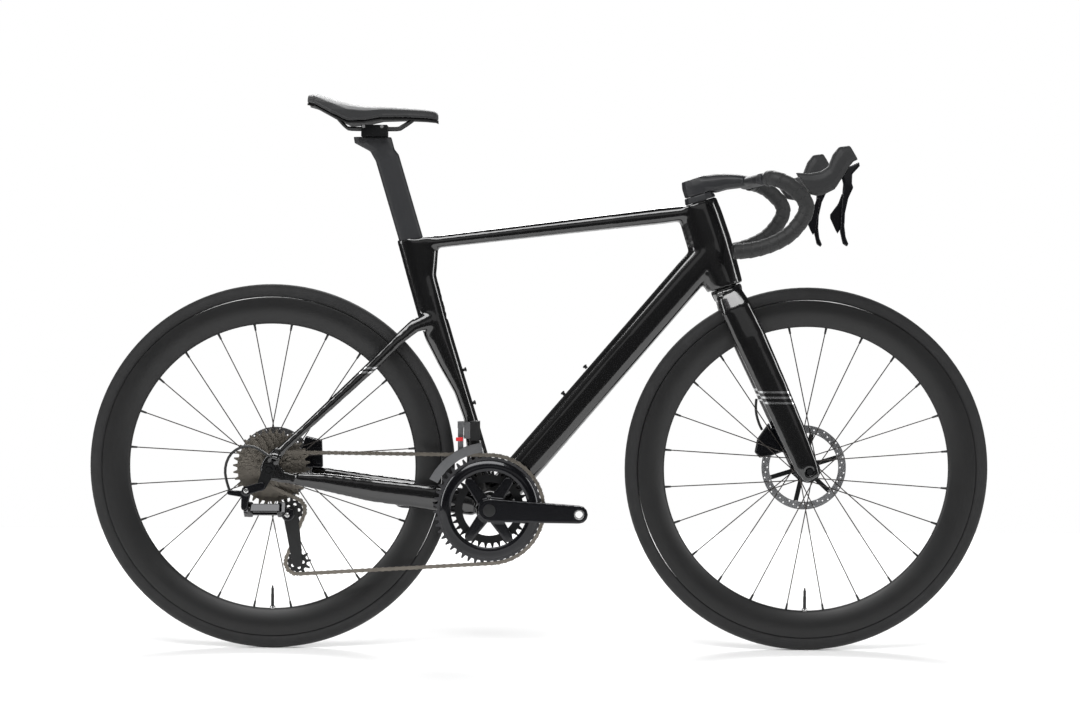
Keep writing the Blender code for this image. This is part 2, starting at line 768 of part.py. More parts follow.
def make_rotor(name, axle, radius, y):
    """A brake disc with six windows, round the hub's seat."""
    track = radius - ROTOR_TRACK
    hub_ring = ROTOR_SEAT_RADIUS + 0.010
    loops = [circle(axle.x, axle.z, radius, 30), circle(axle.x, axle.z, ROTOR_SEAT_RADIUS + FIT, 20)]
    for k in range(6):
        start, end = 60 * k + 7, 60 * k + 53
        outer = arc(axle.x, axle.z, track, start, end, 5)
        inner = arc(axle.x, axle.z, hub_ring, end, start, 4)
        loops.append(outer + inner)
    return plate(name, loops, y - ROTOR_THICK / 2, y + ROTOR_THICK / 2, "silver")


def make_caliper(name, outline, axle, rotor_radius, rotor_y):
    """A caliper body with a slot for the disc and its two pads."""
    body = plate(name, [outline], rotor_y - CALIPER_HALF, rotor_y + CALIPER_HALF, "matt_black")
    if name.startswith("front"):
        nose = plate("caliper_nose", [FRONT_CALIPER_NOSE], rotor_y - CALIPER_HALF + FIT, FRONT_NOSE_Y, "matt_black")
        combine(body, nose)
    slot_radius = rotor_radius + 0.0025
    slot = pin(name + "_slot", axle, slot_radius, rotor_y - PAD_SLOT, rotor_y + PAD_SLOT, "matt_black", 36)
    return cut(body, slot)


def make_pads(name, sector, axle, rotor_y):
    """Two pads in the slot, one on each side of the disc."""
    low, high, start, end = sector
    outline = arc(axle.x, axle.z, high, start, end, 4) + arc(axle.x, axle.z, low, end, start, 3)
    near = rotor_y + ROTOR_THICK / 2 + PAD_CLEARANCE
    far = rotor_y + PAD_SLOT - FIT
    outer = plate(name + "_outer", [outline], near, far, "dark_steel")
    inner = plate(name + "_inner", [outline], 2 * rotor_y - far, 2 * rotor_y - near, "dark_steel")
    return outer, inner


def flat_ring(x_back, x_front, z, width, count=12, z_front=None, power=2.4):
    """A level section of the seat tube or post. z_front lifts its front edge."""
    lift = 0 if z_front is None else (z_front - z)
    ring = []
    for across, deep in superellipse(width, x_front - x_back, power, count):
        x = (x_back + x_front) / 2 + deep
        share = (x - x_back) / (x_front - x_back)
        ring.append(Vector((x, across, z + share * lift)))
    return ring


def make_seat_tube():
    """Level sections from the shell up, hollowed at the back to follow the wheel."""
    sections = (
        (-0.140, -0.077, 0.290, 0.056),
        (-0.138, -0.092, 0.340, 0.046),
        (-0.137, -0.098, 0.370, 0.040),
        (-0.143, -0.116, 0.430, 0.034),
        (-0.161, -0.1313, 0.480, 0.034),
        (-0.190, -0.1463, 0.530, 0.034),
        (-0.216, -0.1613, 0.580, 0.034),
        (-0.2295, -0.173, 0.620, 0.032),
        (-0.2524, -0.195, 0.700, 0.030),
    )
    rings = [flat_ring(back, front, z, width) for back, front, z, width in sections]
    rings.append(flat_ring(-0.271, -0.189, 0.7657, 0.030, z_front=0.7755))
    return loft("frame", rings, "gloss_black")


def make_head_tube():
    """Sections square to the steering axis, as (along it, behind it, ahead of it, width)."""
    sections = (
        (HEAD_BOTTOM, 0.036, 0.034, 0.050),
        (0.410, 0.047, 0.036, 0.048),
        (0.460, 0.048, 0.0373, 0.046),
        (0.510, 0.0475, 0.0355, 0.046),
        (HEAD_TOP, 0.045, 0.033, 0.046),
    )
    rings = []
    for along, behind, ahead, width in sections:
        ring = []
        for across, deep in superellipse(width, behind + ahead, 2.3, 12):
            ring.append(steer_point(along, (ahead - behind) / 2 + deep, across))
        rings.append(ring)
    return loft("head_tube", rings, "gloss_black")


def make_frame():
    """The one-piece frame, with its bores for the fork, post, cranks and rear axle."""
    frame = make_seat_tube()
    half_shell = SHELL_WIDTH / 2
    combine(frame, pin("shell", CRANK_AXIS, SHELL_RADIUS, -half_shell, half_shell, "gloss_black", 24))
    down = [
        (-0.0980, 0, 0.2624, 0.056, 0.0625),
        (-0.0275, 0, 0.3450, 0.060, 0.0625),
        (0.1300, 0, 0.5296, 0.050, 0.0625),
        (0.2795, 0, 0.7048, 0.047, 0.0625),
        (0.3250, 0, 0.7581, 0.045, 0.0600),
    ]
    combine(frame, tube("down_tube", down, "gloss_black", power=3.2, count=12))
    top = [
        (-0.2350, 0, 0.7577, 0.028, 0.0230),
        (-0.1840, 0, 0.7640, 0.029, 0.0240),
        (0.0500, 0, 0.7930, 0.034, 0.0275),
        (0.2200, 0, 0.8137, 0.040, 0.0310),
        (0.3100, 0, 0.8247, 0.041, 0.0280),
    ]
    combine(frame, tube("top_tube", top, "gloss_black", power=3.0, count=12))
    combine(frame, make_head_tube())
    chainstay = [
        (-0.4830, 0.0745, 0.3272, 0.0070, 0.0180),
        (-0.4700, 0.0720, 0.3260, 0.0095, 0.0205),
        (-0.4400, 0.0665, 0.3225, 0.0140, 0.0270),
        (-0.4030, 0.0600, 0.3175, 0.0160, 0.0340),
        (-0.3134, 0.0430, 0.3013, 0.0180, 0.0450),
        (-0.2236, 0.0320, 0.2895, 0.0180, 0.0480),
        (-0.1968, 0.0300, 0.2860, 0.0180, 0.0500),
        (-0.1200, 0.0240, 0.2730, 0.0200, 0.0440),
    ]
    seatstay = [
        (-0.2000, 0.0100, 0.6180, 0.0140, 0.0340),
        (-0.2350, 0.0200, 0.6060, 0.0140, 0.0270),
        (-0.2620, 0.0280, 0.5830, 0.0135, 0.0230),
        (-0.3157, 0.0360, 0.5290, 0.0130, 0.0217),
        (-0.3757, 0.0470, 0.4725, 0.0125, 0.0190),
        (-0.4359, 0.0600, 0.4164, 0.0115, 0.0165),
        (-0.4750, 0.0715, 0.3800, 0.0090, 0.0170),
        (-0.4970, 0.0745, 0.3520, 0.0068, 0.0240),
    ]
    dropout = [
        (-0.5145, 0.3300),
        (-0.5165, 0.3450),
        (-0.5110, 0.3600),
        (-0.4900, 0.3830),
        (-0.4780, 0.3780),
        (-0.4830, 0.3520),
        (-0.4700, 0.3370),
        (-0.4520, 0.3335),
        (-0.4530, 0.3140),
        (-0.4800, 0.3170),
        (-0.5080, 0.3230),
    ]
    face = REAR_SPACING / 2
    for side in (-1, 1):
        word = "left" if side > 0 else "right"
        low, high = sorted((side * face, side * (face + DROPOUT_THICK)))
        for kind, stations in (("chainstay", chainstay), ("seatstay", seatstay)):
            placed = [(x, side * y, z, width, depth) for x, y, z, width, depth in stations]
            combine(frame, tube(f"{kind}_{word}", placed, "gloss_black", power=2.5, count=10))
        combine(frame, plate(f"dropout_{word}", [dropout], low, high, "gloss_black"))
    outlet = [(-0.4800, -0.0800, 0.3610), HOUSING_OUTLET]
    combine(frame, rod("housing_outlet", outlet, 0.0045, "gloss_black"))
    cut(frame, pin("crank_bore", CRANK_AXIS, BRACKET_RADIUS + FIT, -0.06, 0.06, steps=24))
    cut(frame, pin("rear_axle_bore", REAR_AXLE, AXLE_RADIUS + FIT, -0.09, 0.09, steps=16))
    low = COLLAR_RISE - POST_INSERTION - POST_BORE_SPARE
    cut(frame, make_post_run("post_bore", (low, COLLAR_RISE + 0.02), FIT))
    cut(frame, make_wedge("wedge_pocket", FIT, 0.02))
    span = [(STEERER_RADIUS + 2 * FIT, HEAD_BOTTOM - 0.01), (STEERER_RADIUS + 2 * FIT, HEAD_TOP + 0.01)]
    cut(frame, turned_solid("steerer_bore", span, STEER_FOOT, "gloss_black", 24, STEER_UP))
    seat = BEARING_RADIUS + FIT
    for word, low, high in (
        ("lower", HEAD_BOTTOM - 0.01, LOWER_BEARING[1] + FIT),
        ("upper", UPPER_BEARING[0] - FIT, HEAD_TOP + 0.01),
    ):
        ends = [(seat, low), (seat, high)]
        cut(frame, turned_solid(f"{word}_bearing_seat", ends, STEER_FOOT, "gloss_black", 24, STEER_UP))
    rings = []
    for along in (HEAD_TOP, HEAD_TOP + 0.02):
        section = superellipse(2 * COVER_SWEEP, 2 * COVER_SWEEP, 2.0, 24)
        rings.append([steer_point(along, deep, across) for across, deep in section])
    cut(frame, loft("cover_room", rings, "gloss_black"))
    return frame


def make_post_run(name, span, grow):
    """A length of the post's own section, made larger all round for its bore."""
    rings = []
    for along in span:
        ring = []
        for across, deep in superellipse(POST_WIDTH + 2 * grow, POST_DEPTH + 2 * grow, 2.4, 12):
            ring.append(seat_point(along, deep, across))
        rings.append(ring)
    return loft(name, rings, "matt_black")


def make_wedge(name, grow=0.0, above=0.0):
    """The clamp wedge between the post's front and the collar, or the pocket for it."""
    front = POST_DEPTH / 2
    low = seat_point(COLLAR_RISE - WEDGE_HEIGHT - grow, front + FIT - 2 * grow, -WEDGE_WIDTH / 2 - grow)
    turn = Matrix((SEAT_ACROSS, (0, 1, 0), SEAT_UP)).transposed()
    size = Vector((WEDGE_DEPTH - FIT + 3 * grow, WEDGE_WIDTH + 2 * grow, WEDGE_HEIGHT - 0.004 + above + 2 * grow))
    return block(name, low, low + size, "silver", turn, low)


def make_seatpost():
    """The deep post and its head, which leans back under the saddle clamp."""
    rings = []
    for along in (COLLAR_RISE - POST_INSERTION, 0.680):
        ring = []
        for across, deep in superellipse(POST_WIDTH, POST_DEPTH, 2.4, 12):
            ring.append(seat_point(along, deep, across))
        rings.append(ring)
    rings.append(flat_ring(-0.3205, -0.2740, 0.9300, 0.021, z_front=0.9350))
    rings.append(flat_ring(-0.3500, -0.2765, 0.9455, 0.024))
    rings.append(flat_ring(-0.3520, -0.2796, POST_TOP, 0.026))
    return loft("seatpost", rings, "matt_black")


def make_rail_clamp():
    """The clamp on the post's head, with a bore for each rail."""
    low = Vector((-0.3354, -CLAMP_WIDTH / 2, POST_TOP + FIT))
    high = Vector((-0.2878, CLAMP_WIDTH / 2, CLAMP_TOP))
    clamp = block("rail_clamp", low, high, "anodised")
    for side in (-1, 1):
        foot = Vector((low.x, side * RAIL_GAP / 2, SADDLE_REST.z))
        reach = [(RAIL_RADIUS + FIT, -0.02), (RAIL_RADIUS + FIT, 0.08)]
        cut(clamp, turned_solid(f"rail_bore_{side + 1}", reach, foot, "anodised", 10, Vector((1, 0, 0))))
    return clamp


def saddle_layer(name, top, bottom, finish, inset=0.0):
    """A layer of the saddle between two depths under its upper surface. A layer that is set in
    has its faces split as those of the layer over it."""
    stations = (
        (-0.4342, 1.0335, 0.040, 0.006),
        (-0.4202, 1.0360, 0.062, 0.012),
        (-0.3893, 1.0270, 0.0725, 0.020),
        (-0.3586, 1.0181, 0.069, 0.026),
        (-0.3277, 1.0137, 0.055, 0.020),
        (-0.2968, 1.0132, 0.040, 0.013),
        (-0.2536, 1.0111, 0.029, 0.010),
        (-0.2165, 1.0084, 0.022, 0.009),
        (-0.1979, 1.0053, 0.017, 0.008),
        (-0.1930, 1.0000, 0.010, 0.005),
    )
    rings = []
    for x, crown, half, droop in stations:
        upper, lower = [], []
        for step in range(-4, 5):
            share = step / 4
            rounding = 0.35 * (bottom - top) if abs(share) == 1 else 0.0
            for edge, depth, line in ((half - inset, top + rounding, upper), (half - SADDLE_EDGE, bottom, lower)):
                y = share * edge
                line.append(Vector((x, y, crown - droop * abs(y / half) ** 2.5 - depth)))
        ring = upper + lower[::-1]
        rings.append(ring[::-1] if inset else ring)
    return loft(name, rings, finish)


def make_rails():
    """One bent rod: up into the shell at the back, straight through the clamp, round under the nose."""
    z = SADDLE_REST.z
    y = RAIL_GAP / 2
    half = [
        (-0.3870, y + 0.004, z + 0.0350),
        (-0.3800, y + 0.003, z + 0.0200),
        (-0.3723, y + 0.001, z + 0.0110),
        (-0.3640, y, z + 0.0025),
        (-0.3550, y, z),
        (-0.3100, y, z),
        (-0.2710, y, z),
        (-0.2620, y - 0.001, z + 0.0030),
        (-0.2480, y - 0.006, z + 0.0120),
        (-0.2400, y - 0.013, z + 0.0175),
    ]
    other = [(px, -py, pz) for px, py, pz in reversed(half)]
    return wire("saddle_rails", [*half, (-0.2370, 0, z + 0.0184), *other], RAIL_RADIUS, "silver", 1)


def make_fork():
    """Steerer, crown and two blades, bored for the front axle."""
    steerer = [
        (STEERER_RADIUS, CROWN_TOP - 0.012),
        (STEERER_RADIUS, STEERER_TOP),
        (STEERER_RADIUS - STEERER_WALL, STEERER_TOP),
        (STEERER_RADIUS - STEERER_WALL, CROWN_TOP),
    ]
    fork = turned_solid("fork", steerer, STEER_FOOT, "gloss_black", 24, STEER_UP)
    rings = []
    for along, depth, width in ((CROWN_TOP - 0.021, 0.054, 0.058), (CROWN_TOP - 0.005, 0.060, 0.070), (CROWN_TOP, 0.058, 0.060)):
        section = superellipse(width, depth, 2.4, 12)
        rings.append([steer_point(along, deep, across) for across, deep in section])
    combine(fork, loft("crown", rings, "gloss_black"))
    blade = [
        (0.3500, 0.0225, 0.6700, 0.0240, 0.0500),
        (0.3620, 0.0335, 0.6440, 0.0240, 0.0590),
        (0.3879, 0.0385, 0.5896, 0.0225, 0.0610),
        (0.4294, 0.0445, 0.4992, 0.0190, 0.0570),
        (0.4658, 0.0505, 0.4178, 0.0155, 0.0520),
        (0.4942, 0.0560, 0.3502, 0.0120, 0.0450),
        (0.5065, 0.0560, 0.3275, 0.0115, 0.0320),
    ]
    for side in (-1, 1):
        placed = [(x, side * y, z, width, depth) for x, y, z, width, depth in blade]
        combine(fork, tube(f"blade_{side + 1}", placed, "gloss_black", power=2.5, count=12))
    return cut(fork, pin("front_axle_bore", FRONT_AXLE, AXLE_RADIUS + FIT, -0.08, 0.08, steps=16))


def make_bearing(name, span):
    profile = [
        (STEERER_RADIUS + FIT, span[0]),
        (BEARING_RADIUS, span[0]),
        (BEARING_RADIUS, span[1]),
        (STEERER_RADIUS + FIT, span[1]),
    ]
    return steerer_ring(name, profile, "steel")


def steerer_ring(name, profile, finish):
    """A ring round the steering axis, from its closed outline of (radius, along)."""
    turn = STEER_UP.to_track_quat("Z", "X").to_matrix()
    rings = []
    for step in range(24):
        angle = 2 * math.pi * step / 24
        way = Vector((math.cos(angle), math.sin(angle), 0))
        rings.append([STEER_FOOT + turn @ (r * way + Vector((0, 0, along))) for r, along in profile])
    return loft(name, rings, finish, closed=True)


STEM_STATIONS = (
    (0.2760, 0, 0.8690, 0.036, 0.022),
    (0.3000, 0, 0.8735, 0.043, 0.033),
    (0.3250, 0, 0.8752, 0.043, 0.036),
    (0.3450, 0, 0.8785, 0.042, 0.031),
    (0.3720, 0, 0.8795, 0.047, 0.026),
    (0.3980, 0, 0.8785, 0.052, 0.017),
)


def make_headset_cover():
    rings = []
    for along, depth, width in ((HEAD_TOP + FIT, 0.060, 0.044), (COVER_TOP, 0.056, 0.042)):
        section = superellipse(width, depth, 2.4, 12)
        rings.append([steer_point(along, 0.002 + deep, across) for across, deep in section])
    cover = loft("headset_cover", rings, "matt_black")
    span = [(STEERER_RADIUS + FIT, HEAD_TOP - 0.01), (STEERER_RADIUS + FIT, COVER_TOP + 0.01)]
    cut(cover, turned_solid("cover_bore", span, STEER_FOOT, "matt_black", 24, STEER_UP))
    room = [(x, y, z, width + 3 * FIT, depth + 3 * FIT) for x, y, z, width, depth in STEM_STATIONS]
    return cut(cover, tube("stem_room", room, "matt_black", power=2.6, count=12))


def drop_path(side):
    """The handlebar's line from the end of its flat top, round the bend and back to the plug."""
    flat = (
        (0.3980, 0.158, 0.8800),
        (0.4040, 0.178, 0.8805),
        (0.4180, 0.191, 0.8785),
        (0.4392, BAR_HALF_WIDTH, 0.8698),
        (0.4573, BAR_HALF_WIDTH, 0.8547),
        (0.4685, BAR_HALF_WIDTH, 0.8420),
        (0.4728, BAR_HALF_WIDTH, 0.8280),
        (0.4685, BAR_HALF_WIDTH, 0.8127),
        (0.4562, BAR_HALF_WIDTH, 0.7939),
        (0.4402, BAR_HALF_WIDTH, 0.7776),
        (0.4205, BAR_HALF_WIDTH, 0.7658),
        (0.3991, BAR_HALF_WIDTH, 0.7571),
        (0.3740, BAR_HALF_WIDTH, 0.7508),
        (0.3453, BAR_HALF_WIDTH, 0.7480),
    )
    return [Vector((x, side * y, z)) for x, y, z in flat]


def make_cockpit():
    """The stem and the handlebar in one piece, bored for the steerer's top."""
    rings = []
    for along, depth, width in ((COVER_TOP + FIT, 0.0555, 0.042), (0.570, 0.056, 0.043), (0.5825, 0.050, 0.038)):
        section = superellipse(width, depth, 2.4, 12)
        rings.append([steer_point(along, 0.003 + deep, across) for across, deep in section])
    cockpit = loft("cockpit", rings, "matt_black")
    combine(cockpit, tube("stem", STEM_STATIONS, "matt_black", power=2.6, count=12))
    wing = []
    for y, chord, thick in (
        (-0.172, 0.026, 0.0225),
        (-0.140, 0.036, 0.0205),
        (-0.060, 0.044, 0.0195),
        (0.0, 0.046, 0.0200),
        (0.060, 0.044, 0.0195),
        (0.140, 0.036, 0.0205),
        (0.172, 0.026, 0.0225),
    ):
        centre = Vector((0.3965, y, 0.8790))
        wing.append([centre + Vector((deep, 0, across)) for across, deep in superellipse(thick, chord, 2.3, 12)])
    combine(cockpit, loft("wing", wing, "matt_black"))
    for side in (-1, 1):
        combine(cockpit, rod(f"drop_{side + 1}", drop_path(side), BAR_RADIUS, "matt_black"))
    span = [(STEERER_RADIUS + FIT, COVER_TOP - 0.01), (STEERER_RADIUS + FIT, STEERER_TOP + FIT)]
    return cut(cockpit, turned_solid("stem_bore", span, STEER_FOOT, "matt_black", 24, STEER_UP))


def make_tape(side, word):
    """Tape round the drop from the wing's end to the plug."""
    return sleeve(f"bar_tape_{word}", drop_path(side), TAPE_RADIUS, BAR_RADIUS + FIT, "tape")


def make_plug(side, word):
    path = drop_path(side)
    way = (path[-1] - path[-2]).normalized()
    ends = [(TAPE_RADIUS, FIT), (TAPE_RADIUS, 0.0025), (TAPE_RADIUS - 0.004, 0.0050)]
    return turned_solid(f"bar_plug_{word}", ends, path[-1], "matt_black", 12, way)


def make_shifter(side, word):
    """The rubber-covered lever body, slotted for the brake lever that turns on its pin."""
    y = side * BAR_HALF_WIDTH
    edges = (
        (0.4807, 0.8506, 0.4524, 0.8907, 0.027),
        (0.4920, 0.8482, 0.4795, 0.8896, 0.031),
        (0.5063, 0.8518, 0.4980, 0.8935, 0.033),
        (0.5256, 0.8616, 0.5106, 0.9021, 0.033),
        (0.5397, 0.8832, 0.5188, 0.9238, 0.032),
        (0.5492, 0.8978, 0.5294, 0.9371, 0.028),
        (0.5640, 0.9140, 0.5487, 0.9396, 0.018),
    )
    rings = []
    for low_x, low_z, high_x, high_z, width in edges:
        low, high = Vector((low_x, y, low_z)), Vector((high_x, y, high_z))
        rise = high - low
        section = superellipse(width, rise.length, 2.5, 12)
        rings.append([(low + high) / 2 + Vector((0, across, 0)) + deep * rise.normalized() for across, deep in section])
    body = loft(f"shifter_body_{word}", rings, "rubber")
    turn = LEVER_PIVOT
    room = hull_of_discs([(turn.x, turn.z, 0.011), (0.5310, 0.8680, 0.010), (0.5600, 0.8680, 0.020), (0.5700, 0.9060, 0.0100)])
    half = LEVER_WIDTH / 2 + 2 * FIT
    cut(body, plate(f"lever_slot_{word}", [room], y - half, y + half, "rubber"))
    return combine(body, pin(f"lever_pin_{word}", turn, LEVER_PIN_RADIUS, y - 0.0095, y + 0.0095))


def make_lever(side, word):
    """The brake lever's blade, bored for its pin."""
    y = side * BAR_HALF_WIDTH
    outline = [
        (0.5658, 0.9099),
        (0.5671, 0.9025),
        (0.5540, 0.8881),
        (0.5535, 0.8713),
        (0.5560, 0.8642),
        (0.5473, 0.8450),
        (0.5417, 0.8186),
        (0.5408, 0.7946),
        (0.5433, 0.7754),
        (0.5483, 0.7635),
        (0.5460, 0.7586),
        (0.5388, 0.7634),
        (0.5337, 0.7849),
        (0.5346, 0.8137),
        (0.5366, 0.8426),
        (0.5385, 0.8712),
        (0.5335, 0.8885),
        (0.5350, 0.8965),
        (0.5420, 0.9000),
        (0.5520, 0.9030),
    ]
    hole = circle(LEVER_PIVOT.x, LEVER_PIVOT.z, LEVER_PIN_RADIUS + FIT, 10)
    return plate(f"brake_lever_{word}", [outline, hole], y - LEVER_WIDTH / 2, y + LEVER_WIDTH / 2, "anodised")


def make_paddle(side, word):
    """The shift paddle, against the brake lever's inner face."""
    outline = [
        (0.5440, 0.8530),
        (0.5370, 0.8530),
        (0.5310, 0.8360),
        (0.5164, 0.8159),
        (0.5165, 0.8088),
        (0.5265, 0.7873),
        (0.5301, 0.7813),
        (0.5349, 0.7897),
        (0.5385, 0.8137),
        (0.5420, 0.8450),
    ]
    face = BAR_HALF_WIDTH - LEVER_WIDTH / 2 - FIT
    low, high = sorted((side * face, side * (face - PADDLE_THICK)))
    return plate(f"shift_paddle_{word}", [outline], low, high, "anodised")


def make_crank_right():
    """The drive-side arm with its spider and the spindle that runs through the frame."""
    end = crank_end(1)
    outline = hull_of_discs([(CRANK_AXIS.x, CRANK_AXIS.z, 0.0215), (end.x, end.z, 0.0165)])
    inner, outer = -CRANK_INNER_Y, -CRANK_OUTER_Y
    arm = plate("crank_right", [outline, circle(end.x, end.z, PEDAL_BORE, 14)], outer, inner, "gloss_black")
    combine(arm, pin("spider_boss", CRANK_AXIS, 0.0205, inner - 0.004, -0.0445, "gloss_black", 24))
    post_end = INNER_RING_Y - TOOTH_THICK / 2 - FIT
    half = 0.009
    for angle in SPIDER_ANGLES:
        way = Vector((math.cos(math.radians(angle)), 0, math.sin(math.radians(angle))))
        foot = CRANK_AXIS + 0.016 * way
        tip = CRANK_AXIS + (OUTER_RING_BORE - FIT - half) * way
        blade = hull_of_discs([(foot.x, foot.z, 0.012), (tip.x, tip.z, half)])
        combine(arm, plate(f"spider_{angle}", [blade], -0.0585, -0.0500, "gloss_black"))
        tab = CRANK_AXIS + INNER_BOLT_RADIUS * way
        combine(arm, pin(f"ring_post_{angle}", tab, 0.006, -0.0510, post_end, "gloss_black", 10))
    spindle = pin("spindle", CRANK_AXIS, SPINDLE_RADIUS, -0.050, CRANK_OUTER_Y - 0.001, "steel", 20)
    return combine(arm, spindle)


def crank_end(side):
    way = Vector((math.cos(CRANK_DROP), 0, -math.sin(CRANK_DROP)))
    return CRANK_AXIS + side * CRANK_LENGTH * way


def make_crank_left():
    end = crank_end(-1)
    outline = hull_of_discs([(CRANK_AXIS.x, CRANK_AXIS.z, 0.0205), (end.x, end.z, 0.0165)])
    holes = [
        circle(end.x, end.z, PEDAL_BORE, 14),
        circle(CRANK_AXIS.x, CRANK_AXIS.z, (SPINDLE_RADIUS + FIT) / math.cos(math.pi / 20), 20),
    ]
    return plate("crank_left", [outline, *holes], CRANK_INNER_Y, CRANK_OUTER_Y, "gloss_black")


def make_outer_chainring(runs):
    """The large ring, with the broad face that its outer side shows."""
    ring = make_toothed_plate(
        "outer_chainring", CRANK_AXIS, OUTER_TEETH, CHAINLINE, tooth_phase(runs, 1), True, OUTER_RING_BORE, "gloss_black"
    )
    loops = [circle(CRANK_AXIS.x, CRANK_AXIS.z, r, 36) for r in (OUTER_FACE_RADIUS, OUTER_RING_BORE + 0.002)]
    return combine(ring, plate("ring_face", loops, -0.0570, CHAINLINE, "gloss_black"))


def make_inner_chainring():
    return make_toothed_plate(
        "inner_chainring", CRANK_AXIS, INNER_TEETH, INNER_RING_Y, 0.0, False, INNER_RING_BORE, "dark_steel"
    )


def make_bottom_bracket():
    """The bearing sleeve between the frame's shell and the crank spindle."""
    half = SHELL_WIDTH / 2
    bore = SPINDLE_RADIUS + FIT
    profile = [(bore, -half), (BRACKET_RADIUS, -half), (BRACKET_RADIUS, half), (bore, half)]
    return turned_ring("bottom_bracket", profile, CRANK_AXIS, "anodised", 24)


def link_plate(name, loops, low, high, finish):
    """A plate square to the rear links' pins: loops of (forward, inward) about their rear pin."""
    flat = plate(name, [[(u, -v) for u, v in loop] for loop in loops], low, high, finish)
    turn = Matrix.Rotation(math.pi / 2 - LINK_SLANT, 4, "X")
    flat.data.transform(Matrix.Translation(LINK_REAR) @ turn)
    return flat


def link_pins(forward, low=-0.0105, high=0.0105):
    """The two link pins of a knuckle, each on its own."""
    pins = []
    for number, inward in enumerate((0.0, LINK_GAP)):
        pins.append(link_plate(f"link_pin_{forward}_{number}", [circle(forward, inward, LINK_PIN, 8)], low, high, "steel"))
    return pins


def make_rear_link(name, inward):
    belt = hull_of_discs([(0, inward, LINK_HALF), (LINK_LENGTH, inward, LINK_HALF)], 4)
    holes = [circle(u, inward, LINK_PIN + FIT, 8) for u in (0, LINK_LENGTH)]
    return link_plate(name, [belt, *holes], -LINK_SPAN, LINK_SPAN, "matt_black")


def add_knuckle_ears(target, tag, pin_at, web_from, web_to):
    """Two ears with pins through the links' ends, and the web that joins them."""
    for number, (low, high) in enumerate(((LINK_SPAN + FIT, EAR_END), (-EAR_END, -LINK_SPAN - FIT))):
        reach = [(pin_at, 0, EAR_HALF), (pin_at, LINK_GAP, EAR_HALF), (web_from, 0, EAR_HALF), (web_from, LINK_GAP, EAR_HALF)]
        combine(target, link_plate(f"{tag}_ear_{number}", [hull_of_discs(reach, 4)], low, high, "matt_black"))
    low_v, high_v = -EAR_HALF, LINK_GAP + EAR_HALF
    web = [(web_from, low_v), (web_to, low_v), (web_to, high_v), (web_from, high_v)]
    combine(target, link_plate(f"{tag}_web", [web], -EAR_END + 0.0004, EAR_END - 0.0004, "matt_black"))
    for piece in link_pins(pin_at):
        combine(target, piece)
    return target


def make_rd_bracket():
    """The rear derailleur's upper body: its link to the hanger, knuckle and cable arm."""
    bolt, low = HANGER_BOLT, -0.0890
    strap = hull_of_discs([(bolt.x, bolt.z, 0.008), (LINK_BOLT.x, LINK_BOLT.z, 0.0085)])
    body = plate("rd_bracket", [strap], low, HANGER_OUTER_Y - FIT, "matt_black")
    column = hull_of_discs([(LINK_BOLT.x, LINK_BOLT.z, 0.0085), (-0.5445, 0.2720, 0.0060)])
    combine(body, plate("bracket_column", [column], low + 0.0006, -0.0730, "matt_black"))
    arm = hull_of_discs([(-0.5450, 0.2960, 0.0060), (HOUSING_INLET.x, HOUSING_INLET.z - 0.0050, 0.0045)])
    combine(body, plate("cable_arm", [arm], low + 0.0010, -0.0810, "matt_black"))
    add_knuckle_ears(body, "rear", 0.0, -WEB_GAP, -0.0130)
    return body


def make_p_knuckle():
    """The lower knuckle: round the cage pivot, bored for the cage's pin."""
    barrel = pin("rd_p_knuckle", CAGE_PIVOT, P_KNUCKLE_RADIUS, -0.0780, P_KNUCKLE_INNER_Y, "matt_black", 20)
    add_knuckle_ears(barrel, "front", LINK_LENGTH, LINK_LENGTH + WEB_GAP, LINK_LENGTH + 0.0120)
    return cut(barrel, pin("cage_pin_bore", CAGE_PIVOT, CAGE_PIN + FIT, -0.0740, 0.0, steps=12))


def make_rd_cage(tension):
    """Two plates on either side of the pulleys, held by the pulleys' pins, on the pivot pin."""
    outline = hull_of_discs(
        [(GUIDE_PULLEY.x, GUIDE_PULLEY.z, 0.0085), (tension.x, tension.z, 0.0095), (CAGE_PIVOT.x, CAGE_PIVOT.z, 0.0110)]
    )
    inner = hull_of_discs([(GUIDE_PULLEY.x, GUIDE_PULLEY.z, 0.0085), (tension.x, tension.z, 0.0095)])
    near, far = CAGE_GAP, CAGE_GAP + CAGE_THICK
    cage = plate("rd_cage", [outline], CHAINLINE - far, CHAINLINE - near, "matt_black")
    combine(cage, plate("inner_cage", [inner], CHAINLINE + near, CHAINLINE + far, "matt_black"))
    for number, centre in enumerate((GUIDE_PULLEY, tension)):
        ends = (CHAINLINE - far + 0.0005, CHAINLINE + far - 0.0005)
        combine(cage, pin(f"pulley_pin_{number}", centre, PULLEY_PIN, *ends, steps=12))
    return combine(cage, pin("cage_pin", CAGE_PIVOT, CAGE_PIN, -0.0700, CHAINLINE - near - 0.0005, steps=12))


def make_pulley(name, centre, phase):
    return make_toothed_plate(name, centre, PULLEY_TEETH, CHAINLINE, phase, True, PULLEY_PIN + FIT, "matt_black")


def make_hanger():
    bolt = HANGER_BOLT
    outline = hull_of_discs([(REAR_AXLE.x, REAR_AXLE.z, 0.0120), (bolt.x, bolt.z, 0.0085)])
    inner = -(REAR_SPACING / 2 + DROPOUT_THICK + FIT)
    hole = circle(REAR_AXLE.x, REAR_AXLE.z, AXLE_RADIUS + 2 * FIT, 16)
    return plate("derailleur_hanger", [outline, hole], HANGER_OUTER_Y, inner, "anodised")


def x_pin(name, x_low, x_high, y, z, radius, steps=10):
    return turned_solid(name, [(radius, x_low), (radius, x_high)], Vector((0, y, z)), "steel", steps, Vector((1, 0, 0)))


